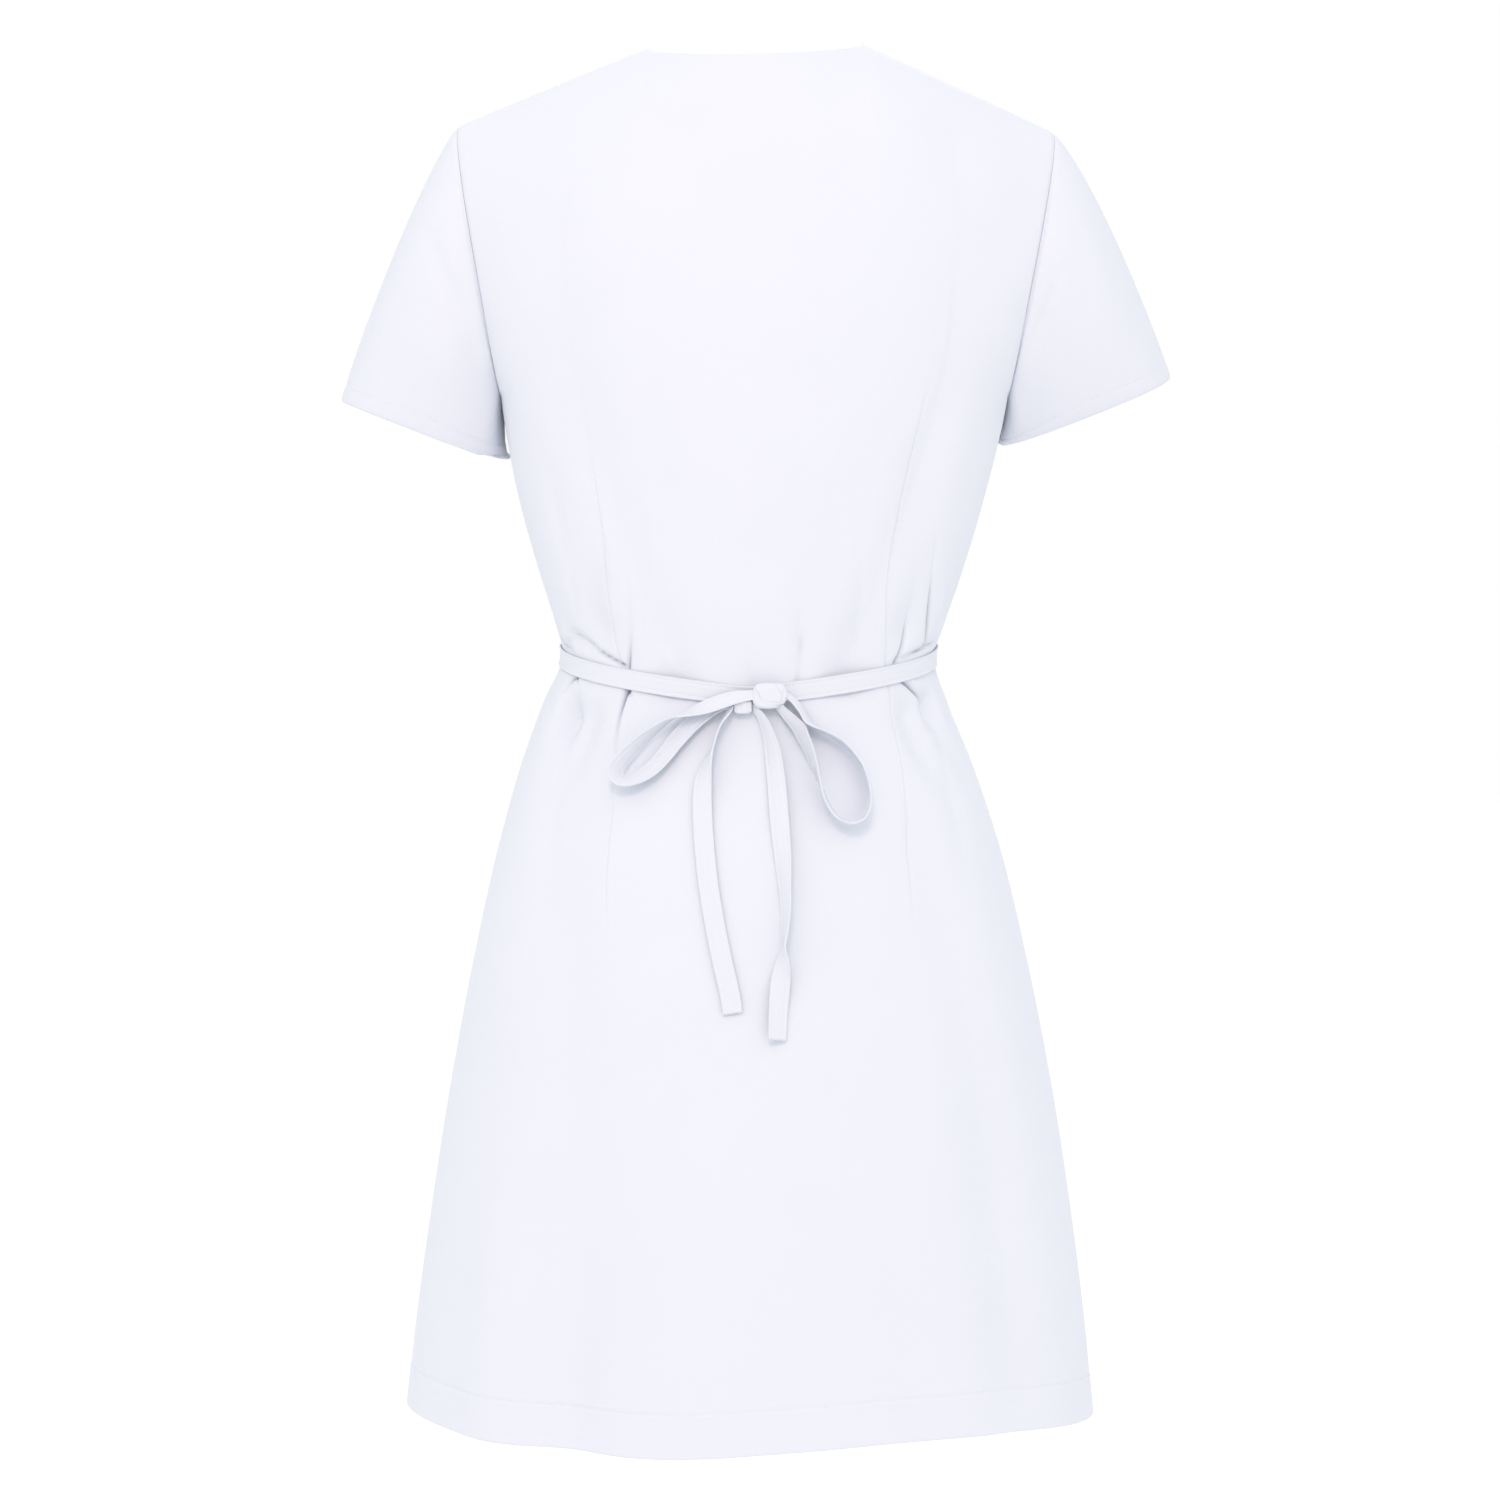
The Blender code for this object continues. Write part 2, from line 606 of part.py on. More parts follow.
def sleeve_rings(sleeve, loop):
    """Rings of points from the armhole to the cuff."""
    turns = ring_turns(loop)[:, None]
    cuff = (
        sleeve["centre"]
        + sleeve["outward"] * np.cos(turns)
        + sleeve["backward"] * np.sin(turns)
    )
    axis = unit(np.cross(sleeve["outward"], sleeve["backward"])) * sleeve["hand"]
    rise = np.clip(np.cos(turns), 0.0, 1.0) ** 2
    sink = np.clip(-np.cos(turns), 0.0, 1.0) ** 2
    aside = np.where(np.sin(turns) > 0.0, SLEEVE_LEAVING["back"], SLEEVE_LEAVING["front"])
    leaving = unit(
        rise * sleeve["top_leaving"]
        + sink * SLEEVE_LEAVING["underarm"]
        + (1.0 - rise - sink) * aside
    ) * np.array([sleeve["hand"], 1.0, 1.0])
    length = np.linalg.norm(cuff - loop, axis=1)[:, None]
    shares = np.linspace(0.0, 1.0, SLEEVE_STEPS + 1)
    return np.array(
        [
            hermite(
                loop,
                leaving * length,
                cuff,
                axis * length * SLEEVE_ARRIVING,
                np.full(len(loop), share),
            )
            for share in shares
        ]
    )


def level_with_seam(normals):
    """Turn normals into the plane of the side and shoulder seams, which face along Y."""
    return unit(normals * np.array([1.0, 0.0, 1.0]))


def join_panels(normals, across, underarm_row):
    """Give both panels the same normals along their side and shoulder seams."""
    sides = (slice(0, underarm_row + 1), [0, -1])
    shoulders = (-1, np.abs(across) > NECK_ACROSS - SEAM_GAP)
    for place in (sides, shoulders):
        shared = level_with_seam(normals["back"][place] + normals["front"][place])
        normals["back"][place] = shared
        normals["front"][place] = shared


def armhole_loop(values, column, underarm_row):
    """Read values round an armhole: up the back from the underarm, then down the front."""
    back = values["back"][underarm_row:, column]
    front = values["front"][underarm_row:, column]
    loop = np.concatenate([back, front[-2:0:-1]])
    loop[0] = (back[0] + front[0]) / 2.0
    loop[len(back) - 1] = (back[-1] + front[-1]) / 2.0
    return loop


def join_sleeve(sleeve, outer, normals, underarm_row):
    """Make one sleeve's rings and normals, and turn the panels' armhole normals to match."""
    hand = sleeve["hand"]
    column = -1 if hand > 0 else 0
    loop = armhole_loop(outer, column, underarm_row)
    body_normals = armhole_loop(normals, column, underarm_row)
    rings = sleeve_rings(sleeve, loop)
    joint = unit(body_normals + grid_normals(rings, hand, True)[0])
    top = len(loop) // 2
    for corner in (0, top):
        joint[corner] = level_with_seam(joint[corner])
    tangent = np.roll(loop, -1, axis=0) - np.roll(loop, 1, axis=0)
    toward = unit(np.cross(tangent, joint))
    toward = toward * np.sign(toward[:, :1]) * hand
    rings = sleeve_rings(sleeve, loop + toward * SEAM_GAP)
    ring_normals = grid_normals(rings, hand, True)
    ring_normals[0] = joint
    normals["back"][underarm_row:, column] = joint[: top + 1]
    normals["front"][underarm_row, column] = joint[0]
    normals["front"][underarm_row + 1 :, column] = joint[top:][::-1]
    return rings, ring_normals


def box_mesh(name, corners):
    """Closed strap from its four lines of corners, each an array of points along it."""
    count = corners.shape[1]
    points = corners.transpose(1, 0, 2).reshape(-1, 3)
    last = 4 * (count - 1)
    faces = [[0, 1, 2, 3], [last + 3, last + 2, last + 1, last]]
    for step in range(count - 1):
        for side in range(4):
            near, far = 4 * step + side, 4 * step + (side + 1) % 4
            faces.append([near, near + 4, far + 4, far])
    mesh = bpy.data.meshes.new(name)
    mesh.from_pydata([tuple(point) for point in points], [], faces)
    return mesh


def strap_line(hand, level, off, stations):
    """One edge of a tie strap, on the back from the knot to the side, then on the front."""
    line = {}
    for side in ("back", "front"):
        places = stations[side] * hand
        middle = np.full_like(places, TIE_LEVEL)
        outward = cloth_outward(side, places, middle)
        line[side] = cloth_point(side, places, np.full_like(places, level)) + outward * off
    seam = (line["back"][-1:] + line["front"][:1]) / 2.0
    return np.concatenate([line["back"][:-1], seam, line["front"][1:]])


def add_strap(hand_name, hand, across):
    """Flat strap of the tie on one side, made from the panels' own points."""
    start = TIE_MIDDLE * hand + TIE_MIDDLE_GAP
    beyond = across[across > start + TIE_MIDDLE_GAP]
    front = across[across > TIE_FRONT_END][::-1]
    stations = {
        "back": np.concatenate([[start], beyond]),
        "front": np.concatenate([front, [TIE_FRONT_END]]),
    }
    low = TIE_LEVEL - TIE_WIDTH / 2.0
    high = TIE_LEVEL + TIE_WIDTH / 2.0
    near = TIE_CLEARANCE
    far = TIE_CLEARANCE + TIE_WALL
    edges = ((low, near), (high, near), (high, far), (low, far))
    corners = np.array([strap_line(hand, level, off, stations) for level, off in edges])
    mesh = box_mesh("tie_strap_" + hand_name, corners)
    turn_faces_outward(mesh)
    add_piece("tie_strap_" + hand_name, mesh)


def add_knot(knot):
    """One rounded lump of the knot, standing just off what it lies on."""
    across, level = back_place(np.array([knot["x"]]), np.array([knot["z"]]))
    centre = cloth_point("back", across, level)[0]
    outward = cloth_outward("back", across, level)[0]
    centre = centre + outward * knot["off"]
    half = (knot["half_x"], knot["half_off"], knot["half_z"])
    mesh = bpy.data.meshes.new(str(knot["name"]))
    shape = bmesh.new()
    bmesh.ops.create_uvsphere(
        shape, u_segments=KNOT_SEGMENTS, v_segments=KNOT_RINGS, radius=1.0
    )
    for corner in shape.verts:
        for axis in range(3):
            value = corner.co[axis]
            corner.co[axis] = math.copysign(abs(value) ** KNOT_SQUARENESS, value)
    bmesh.ops.scale(shape, vec=half, verts=shape.verts)
    bmesh.ops.translate(shape, vec=tuple(centre), verts=shape.verts)
    shape.to_mesh(mesh)
    shape.free()
    add_piece(str(knot["name"]), mesh)


def add_ribbon(name, rows):
    """Strap that runs freely over the back along a table of places."""
    knots = np.arange(len(rows), dtype=float)
    places = np.linspace(0.0, len(rows) - 1.0, (len(rows) - 1) * RIBBON_STEPS + 1)
    x, z, off, turn, width = (through(knots, rows[key], places) for key in rows.dtype.names)
    across, level = back_place(x, z)
    outward = cloth_outward("back", across, level)
    middle = cloth_point("back", across, level) + outward * off[:, None]
    along = unit(np.gradient(middle, axis=0))
    beside = unit(np.cross(outward, along))
    angle = np.radians(turn)[:, None]
    wide = beside * np.cos(angle) + outward * np.sin(angle)
    wide = unit(wide - along * np.sum(wide * along, axis=1, keepdims=True))
    thick = np.cross(along, wide) * TIE_WALL / 2.0
    wide = wide * (width * TIE_WIDTH / 2.0)[:, None]
    corners = np.array(
        [
            middle - wide - thick,
            middle + wide - thick,
            middle + wide + thick,
            middle - wide + thick,
        ]
    )
    mesh = box_mesh(name, corners)
    turn_faces_outward(mesh)
    add_piece(name, mesh)


def add_wall(name, outer, normals, closed):
    """Cloth wall inside a grid of points on its outer face."""
    mesh = wall_mesh(name, outer, outer - normals * CLOTH_WALL, closed)
    turn_faces_outward(mesh)
    add_piece(name, mesh)


def main():
    """Model the whole dress."""
    clear_scene()
    across = across_stations()
    grid_across, grid_level = np.meshgrid(across, level_stations())
    underarm_row = len(LOWER_LEVELS)
    outer = {}
    normals = {}
    for side in ("back", "front"):
        outer[side] = cloth_point(side, grid_across, grid_level)
        normals[side] = grid_normals(outer[side], -facing(side), False)
    join_panels(normals, across, underarm_row)
    for hand_name, sleeve in SLEEVES.items():
        rings, ring_normals = join_sleeve(sleeve, outer, normals, underarm_row)
        add_wall("sleeve_" + hand_name, rings, ring_normals, True)
        add_strap(hand_name, sleeve["hand"], across)
    for side in ("back", "front"):
        add_wall(side + "_panel", outer[side], normals[side], False)
    for knot in KNOTS:
        add_knot(knot)
    for name, rows in RIBBONS.items():
        add_ribbon(name, rows)


main()
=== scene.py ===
# %% [markdown]
# # A white uniform dress, filled out as if worn
# The dress has a back, a front, two short sleeves and a narrow tie with a bow at the back
# waist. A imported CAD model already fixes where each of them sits. This lesson dresses every
# solid in real cloth: thin, softly creased, woven and stitched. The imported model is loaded
# first, because everything else is placed by it.

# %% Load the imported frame
import math

import bpy
import numpy as np
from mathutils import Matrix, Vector


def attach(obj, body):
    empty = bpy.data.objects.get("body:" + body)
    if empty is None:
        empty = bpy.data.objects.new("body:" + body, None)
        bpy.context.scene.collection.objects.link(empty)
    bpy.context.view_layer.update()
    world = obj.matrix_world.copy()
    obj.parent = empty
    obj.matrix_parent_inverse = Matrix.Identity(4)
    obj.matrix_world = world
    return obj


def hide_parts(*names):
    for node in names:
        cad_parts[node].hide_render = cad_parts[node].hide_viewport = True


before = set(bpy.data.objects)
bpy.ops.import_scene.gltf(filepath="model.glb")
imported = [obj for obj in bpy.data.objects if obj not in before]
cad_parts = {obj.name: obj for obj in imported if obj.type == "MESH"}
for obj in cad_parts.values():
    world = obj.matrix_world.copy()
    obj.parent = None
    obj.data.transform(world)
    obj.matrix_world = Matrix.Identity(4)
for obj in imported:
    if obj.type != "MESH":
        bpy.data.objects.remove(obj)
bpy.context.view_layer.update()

# %% [markdown]
# ## Node helpers
# The light of the room, the cloth, the thread and the stitches are all small node trees. Four
# short functions add a node with its values, join sockets, add a group's own sockets and start
# a material, so that each tree reads as a list of its parts.

# %% Node helpers
def add_node(tree, kind, values=None, **settings):
    """New node in a tree with its settings and input values."""
    node = tree.nodes.new(kind)
    for name, value in settings.items():
        setattr(node, name, value)
    for name, value in (values or {}).items():
        node.inputs[name].default_value = value
    return node


def join(tree, *wires):
    """Join sockets, each wire given as node, output, node, input."""
    for giver, output, taker, entry in wires:
        tree.links.new(giver.outputs[output], taker.inputs[entry])


def add_sockets(tree, way, **kinds):
    """Sockets of a node group; a kind may come with its first value."""
    for name, kind in kinds.items():
        kind, value = kind if isinstance(kind, tuple) else (kind, None)
        socket = tree.interface.new_socket(name, in_out=way, socket_type="NodeSocket" + kind)
        if value is not None:
            socket.default_value = value


def new_material(name, values):
    """Material with its shader's values set, its node tree and the shader."""
    material = bpy.data.materials.new(name)
    material.use_nodes = True
    shader = material.node_tree.nodes["Principled BSDF"]
    for key, value in values.items():
        shader.inputs[key].default_value = value
    return material, material.node_tree, shader


print("node helpers ready")

# %% [markdown]
# ## Camera
# The photograph looks straight at the back, level, from a little over two metres. A real
# camera could be placed by eye, but the dress has a known scale, so the lens is worked out
# from how much of the dress the picture holds at that distance.

# %% Set the camera
CAMERA_DISTANCE = 2.15
CAMERA_HEIGHT = -0.4787
PICTURE_WIDTH = 1.02        # metres of the dress's middle plane across the picture
SENSOR_WIDTH = 36.0

camera_data = bpy.data.cameras.new("camera")
camera_data.sensor_width = SENSOR_WIDTH
camera_data.lens = SENSOR_WIDTH * CAMERA_DISTANCE / PICTURE_WIDTH
camera = bpy.data.objects.new("camera", camera_data)
camera.location = (0.0, CAMERA_DISTANCE, CAMERA_HEIGHT)
camera.rotation_euler = (math.pi / 2.0, 0.0, math.pi)
bpy.context.scene.collection.objects.link(camera)
bpy.context.scene.camera = camera
print("the lens is", round(camera_data.lens, 1), "mm long")

# %% [markdown]
# ## Floor and light
# White cloth on a white ground has only soft shadows to show its form. The surrounding light
# is white at the horizon and brighter overhead, as under a lit ceiling, so every side is
# filled and still a little darker below each strap and fold. A large soft lamp above the
# camera adds a gentle direction, and one like it serves the front. A hard lamp would draw
# shadows that the photograph lacks.

# %% Build the floor and the lights
FLOOR_LEVEL = -1.42
FLOOR_HALF = 60.0
FLOOR_COLOUR = (0.93, 0.93, 0.93, 1.0)
HORIZON_LIGHT = (1.0, 1.0, 1.0, 1.0)
CEILING_LIGHT = (1.16, 1.16, 1.16, 1.0)
CEILING_FROM = 0.22         # height of a direction where the light starts to grow
CEILING_FULL = 0.90
LAMPS = [
    ("lamp_above", (0.25, 2.7, 1.15), 0.9, 22.0, (1.0, 0.70, 0.66)),
    ("lamp_front", (-0.25, -2.7, 1.15), 0.9, 22.0, (1.0, 0.70, 0.66)),
]
LAMP_AIM = Vector((0.0, 0.0, -0.42))

scene = bpy.context.scene
scene.view_settings.view_transform = "Standard"

world = bpy.data.worlds.new("white_room")
world.use_nodes = True
room = world.node_tree
direction = add_node(room, "ShaderNodeTexCoord")
height = add_node(room, "ShaderNodeSeparateXYZ")
grow = add_node(room, "ShaderNodeMapRange", {"From Min": CEILING_FROM, "From Max": CEILING_FULL})
blend = add_node(room, "ShaderNodeMix", data_type="RGBA")
blend.inputs["A"].default_value = HORIZON_LIGHT
blend.inputs["B"].default_value = CEILING_LIGHT
join(
    room,
    (direction, "Generated", height, "Vector"),
    (height, "Z", grow, "Value"),
    (grow, "Result", blend, "Factor"),
    (blend, "Result", room.nodes["Background"], "Color"),
)
scene.world = world

floor_mesh = bpy.data.meshes.new("floor")
floor_corners = [(-1, -1), (1, -1), (1, 1), (-1, 1)]
floor_mesh.from_pydata(
    [(x * FLOOR_HALF, y * FLOOR_HALF, FLOOR_LEVEL) for x, y in floor_corners], [], [(0, 1, 2, 3)]
)
floor = bpy.data.objects.new("floor", floor_mesh)
scene.collection.objects.link(floor)
floor_look = {"Base Color": FLOOR_COLOUR, "Roughness": 0.9, "Specular IOR Level": 0.0}
floor_mesh.materials.append(new_material("pale_floor", floor_look)[0])

for name, place, size, power, colour in LAMPS:
    lamp_data = bpy.data.lights.new(name, "AREA")
    lamp_data.shape = "DISK"
    lamp_data.size = size
    lamp_data.energy = power
    lamp_data.color = colour
    lamp = bpy.data.objects.new(name, lamp_data)
    lamp.location = place
    lamp.rotation_euler = (LAMP_AIM - Vector(place)).to_track_quat("-Z", "Y").to_euler()
    scene.collection.objects.link(lamp)
print("floor and", len(LAMPS), "lamps")

# %% [markdown]
# ## The cut of the dress
# A dress like this is drafted from a few body measures. The same named sizes as in the solid
# model shape the cloth here: a table of sections for the body, curves for the armholes, and a
# table of the large soft folds. `across` runs from -1 at the wearer's right side seam to +1 at
# the left one, and `level` is a place's height at the side seam.

# %% Sizes of the body
SEAM_GAP = 0.0003
HEM_LEVEL = -0.9245
UNDERARM_LEVEL = -0.240
TIE_LEVEL = -0.413
TIE_DROP = 0.031
TIE_DROP_POWER = 1.15
TIE_DROP_REACH = 0.150
FRONT_TIE_RISE = 0.010
NECK_HALF = 0.072
NECK_ACROSS = 0.275
BACK_NECK_DEPTH = 0.062
BACK_NECK_DIP = 0.0186
FRONT_NECK_DEPTH = 0.118
FRONT_NECK_DIP = 0.195
SHOULDER_HALF = 0.2023
SHOULDER_DROP = 0.0565
NECK_TILT = 0.0018
SHOULDER_TILT = 0.0020
HEM_TILT = 0.0036
HEM_SWAY = 0.0060


def table(names, rows, words=0):
    """Read a table with named columns, the first `words` of them text."""
    kinds = [(name, "U14" if k < words else float) for k, name in enumerate(names.split())]
    lines = [tuple(line.split()) for line in rows.splitlines()]
    return np.array([line for line in lines if line and line[0] != "#"], dtype=kinds)


SECTIONS = table(
    "level half_width back_depth front_depth back_fullness front_fullness lean",
    """
    -0.9245 0.2330 0.155 0.150 1.85 1.90 0.0000
    -0.8660 0.2270 0.153 0.145 1.88 1.92 -0.0005
    -0.7900 0.2170 0.149 0.137 1.93 1.95 -0.0010
    -0.7030 0.2035 0.143 0.129 2.00 2.00 -0.0010
    -0.6220 0.1880 0.136 0.121 2.10 2.10 -0.0005
    -0.5400 0.1690 0.122 0.112 2.10 2.10 0.0005
    -0.4860 0.1525 0.109 0.104 2.05 2.05 0.0020
    -0.4450 0.1370 0.098 0.097 2.05 2.05 0.0030
    -0.4130 0.1262 0.094 0.093 2.05 2.05 0.0010
    -0.3900 0.1325 0.096 0.099 2.05 2.05 0.0000
    -0.3600 0.1425 0.101 0.115 2.10 2.10 -0.0005
    -0.3090 0.1575 0.107 0.132 2.15 2.20 -0.0010
    -0.2400 0.1720 0.112 0.137 2.20 2.30 -0.0030
    0.0000 0.1720 0.112 0.137 2.20 2.30 -0.0040
    """,
)
ARMHOLE_UNDERARM_PULL = {"back": (0.0, 0.075, 0.008), "front": (-0.004, -0.072, 0.006)}
ARMHOLE_SHOULDER_PULL = {"back": (0.003, 0.050, -0.014), "front": (-0.010, -0.046, -0.014)}
ARMHOLE_PACE = 0.85
NECK_ARRIVAL = {"back": np.array((0.0, -0.50, 0.78)), "front": np.array((0.0, 0.35, 0.93))}
SHOULDER_ARRIVAL = {
    "back": np.array((0.0, -1.14, 0.12)),
    "front": np.array((0.0, 1.05, 0.10)),
}
FOLDS = table(
    "side top bottom across_top across_bottom width_top width_bottom peak height",
    """
    back -0.43 -1.10 0.37 0.36 0.09 0.10 0.75 -0.0085
    back -0.43 -1.10 0.54 0.52 0.08 0.10 0.72 0.0060
    back -0.50 -1.10 0.22 0.20 0.12 0.16 0.80 0.0080
    back -0.46 -1.10 -0.30 -0.34 0.14 0.20 0.75 -0.0080
    back -0.44 -1.10 -0.52 -0.58 0.07 0.09 0.65 -0.0045
    back -0.16 -0.52 0.50 0.56 0.09 0.06 0.75 -0.0075
    back -0.16 -0.52 -0.50 -0.60 0.09 0.06 0.75 -0.0070
    back -0.30 -0.47 -0.12 -0.17 0.05 0.04 0.75 -0.0045
    back -0.33 -0.47 0.72 0.66 0.07 0.06 0.80 -0.0090
    back -0.34 -0.46 -0.80 -0.72 0.06 0.05 0.80 -0.0070
    back -0.39 -0.56 0.72 0.60 0.05 0.07 0.30 -0.0050
    back -0.39 -0.54 -0.68 -0.80 0.05 0.07 0.30 -0.0035
    front -0.43 -1.15 0.30 0.40 0.10 0.13 0.72 -0.0090
    front -0.43 -1.15 -0.36 -0.42 0.10 0.13 0.72 -0.0085
    front -0.46 -1.15 0.03 -0.02 0.12 0.15 0.75 0.0070
    front -0.20 -0.48 0.46 0.52 0.10 0.07 0.75 -0.0070
    front -0.20 -0.48 -0.48 -0.54 0.10 0.07 0.75 -0.0070
    front -0.33 -0.50 0.16 0.22 0.08 0.09 0.60 -0.0022
    front -0.33 -0.50 -0.20 -0.26 0.08 0.09 0.60 -0.0020
    """,
    words=1,
)
FOLD_CLEAR_OF_SEAM = 0.12
TIE_PRESS = 0.010
TIE_PRESS_SOFTNESS = 0.022
print(len(SECTIONS), "sections and", len(FOLDS), "large folds")

# %% [markdown]
# ## From sizes to a surface
# Each panel is one smooth surface. Below the arms it follows the sections, whose corners are
# rounder or squarer by their fullness. Above the arms it runs on a smooth curve to the
# neckline and the shoulder seams. A lofted or sculpted mesh could do the same, but a formula
# can be asked for any point, so panels, straps and stitches all lie on one surface.


# %% Small curve helpers
def smooth_step(low, high, value):
    """Rise smoothly from 0 at `low` to 1 at `high`."""
    share = np.clip((value - low) / (high - low), 0.0, 1.0)
    return share * share * (3.0 - 2.0 * share)


def bell(distance, width, power=2):
    """Fall from 1 at no distance to 0 far beyond the width."""
    return np.exp(-((distance / width) ** power))


def unit(vectors):
    """Scale vectors to length 1."""
    return vectors / np.linalg.norm(vectors, axis=-1, keepdims=True)


def hermite(start, start_pull, end, end_pull, share):
    """Cubic curve between two points that leaves and arrives along the two pulls."""
    share = share[..., None]
    square = share * share
    cube = square * share
    return (
        start * (2.0 * cube - 3.0 * square + 1.0)
        + start_pull * (cube - 2.0 * square + share)
        + end * (3.0 * square - 2.0 * cube)
        + end_pull * (cube - square)
    )


def through(knots, values, place):
    """Read a smooth curve through the values at the knots."""
    slopes = np.gradient(values, knots)
    first = np.clip(np.searchsorted(knots, place) - 1, 0, len(knots) - 2)
    span = knots[first + 1] - knots[first]
    share = np.clip((place - knots[first]) / span, 0.0, 1.0)
    return hermite(
        values[first][..., None],
        (slopes[first] * span)[..., None],
        values[first + 1][..., None],
        (slopes[first + 1] * span)[..., None],
        share,
    )[..., 0]


def along(points, axis=0):
    """Distance run along a line or grid of points from its start."""
    steps = np.linalg.norm(np.diff(points, axis=axis), axis=-1)
    run = np.cumsum(steps, axis=axis)
    return np.concatenate([np.zeros_like(np.take(run, [0], axis=axis)), run], axis=axis)


# %% The smooth surface of a panel
def section(column, level):
    """One measure of the body's section at a level."""
    return through(SECTIONS["level"], SECTIONS[column], level)


def facing(side):
    """The back panel lies towards +Y, the front panel towards -Y."""
    return 1.0 if side == "back" else -1.0


def tie_drop(side, across, level):
    """How far the cloth near the tie hangs below its level."""
    share = np.abs(across)
    if side == "back":
        drop = -TIE_DROP * (1.0 - share**TIE_DROP_POWER)
    else:
        drop = FRONT_TIE_RISE * (1.0 - share)
    nearness = np.clip(1.0 - np.abs(level - TIE_LEVEL) / TIE_DROP_REACH, 0.0, 1.0)
    return drop * smooth_step(0.0, 1.0, nearness)


def below_arms(side, across, level):
    """Place on the smooth body between the hem and the underarm."""
    turn = across * math.pi / 2.0
    power = 2.0 / section(side + "_fullness", level)
    half = section("half_width", level)
    depth = section(side + "_depth", level)
    wide = np.sign(turn) * np.abs(np.sin(turn)) ** power
    deep = np.abs(np.cos(turn)) ** power
    x = section("lean", level) + half * wide
    y = facing(side) * (depth * deep + SEAM_GAP / 2.0)
    sunk = np.clip((TIE_LEVEL - level) / (TIE_LEVEL - HEM_LEVEL), 0.0, 1.0)
    z = level + tie_drop(side, across, level) + HEM_TILT * wide * sunk
    if side == "back":
        z = z - HEM_SWAY * sunk * np.sin(math.pi * across) * (1.0 - across**2)
    return np.stack(np.broadcast_arrays(x, y, z), axis=-1)


def neck_turn(across):
    """Turn round the neckline: 0 at its middle, a right angle from the neck points outward."""
    return np.clip(np.abs(across) / NECK_ACROSS, 0.0, 1.0) * math.pi / 2.0


def top_edge(side, across):
    """Place on the neckline and the shoulder seams."""
    turn = neck_turn(across)
    along_shoulder = np.clip((np.abs(across) - NECK_ACROSS) / (1.0 - NECK_ACROSS), 0.0, 1.0)
    x = NECK_HALF * np.sin(turn) + (SHOULDER_HALF - NECK_HALF) * along_shoulder
    if side == "back":
        y = BACK_NECK_DEPTH * np.cos(turn)
        z = -BACK_NECK_DIP * np.cos(turn)
    else:
        y = -FRONT_NECK_DEPTH * np.cos(turn)
        z = -FRONT_NECK_DIP * (1.0 - np.sin(turn))
    y = y + facing(side) * SEAM_GAP / 2.0
    tilt = SHOULDER_TILT * along_shoulder - NECK_TILT * np.sin(turn) * (1.0 - along_shoulder)
    z = z - SHOULDER_DROP * along_shoulder + np.sign(across) * tilt
    x = np.sign(across) * x + section("lean", np.zeros(1))
    return np.stack(np.broadcast_arrays(x, y, z), axis=-1)


def armhole(side, hand, rise):
    """Place on an armhole; hand is +1 for the wearer's left, rise 0 underarm, 1 shoulder."""
    ends = np.array([float(hand)])
    start = below_arms(side, ends, np.array([UNDERARM_LEVEL]))[0]
    end = top_edge(side, ends)[0]
    mirror = np.array([hand, 1.0, 1.0])
    first = start + mirror * ARMHOLE_UNDERARM_PULL[side]
    second = end + mirror * ARMHOLE_SHOULDER_PULL[side]
    share = (np.asarray(rise) ** ARMHOLE_PACE)[..., None]
    rest = 1.0 - share
    return (
        rest**3 * start
        + 3.0 * rest**2 * share * first
        + 3.0 * rest * share**2 * second
        + share**3 * end
    )


def above_arms(side, across, rise):
    """Place between the underarm level and the neckline or shoulder seam."""
    level = np.full_like(across, UNDERARM_LEVEL)
    step = 0.001
    start = below_arms(side, across, level)
    leaving = unit(start - below_arms(side, across, level - step))
    end = top_edge(side, across)
    length = np.linalg.norm(end - start, axis=-1, keepdims=True)
    over = 1.0 - np.cos(neck_turn(across))[..., None]
    arriving = (1.0 - over) * NECK_ARRIVAL[side] + over * SHOULDER_ARRIVAL[side]
    return hermite(start, leaving * length, end, arriving * length, rise)


def smooth_point(side, across, level):
    """Place on the cloth before its folds."""
    across, level = np.broadcast_arrays(np.asarray(across, float), np.asarray(level, float))
    low = below_arms(side, across, np.minimum(level, UNDERARM_LEVEL))
    rise = np.clip(1.0 - level / UNDERARM_LEVEL, 0.0, 1.0)
    high = above_arms(side, across, rise)
    for hand in (-1, 1):
        edge_column = above_arms(side, np.full_like(across, float(hand)), rise)
        pull = np.clip(across * hand, 0.0, 1.0) ** 3
        high = high + pull[..., None] * (armhole(side, hand, rise) - edge_column)
    return np.where((level > UNDERARM_LEVEL)[..., None], high, low)


# %% The large folds
def fold_height(side, across, level):
    """How far the large folds raise or sink the cloth at a place."""
    total = np.zeros_like(across)
    for fold in FOLDS[FOLDS["side"] == side]:
        share = (fold["top"] - level) / (fold["top"] - fold["bottom"])
        inside = np.clip(share, 0.0, 1.0)
        swell = np.sin(math.pi * inside ** (math.log(0.5) / math.log(fold["peak"]))) ** 2
        middle = fold["across_top"] + (fold["across_bottom"] - fold["across_top"]) * inside
        width = fold["width_top"] + (fold["width_bottom"] - fold["width_top"]) * inside
        total = total + fold["height"] * swell * bell(across - middle, width)
    clear = smooth_step(0.0, FOLD_CLEAR_OF_SEAM, 1.0 - np.abs(across))
    away = np.abs(level - TIE_LEVEL)
    free = smooth_step(TIE_PRESS, TIE_PRESS + TIE_PRESS_SOFTNESS, away)
    return total * clear * free


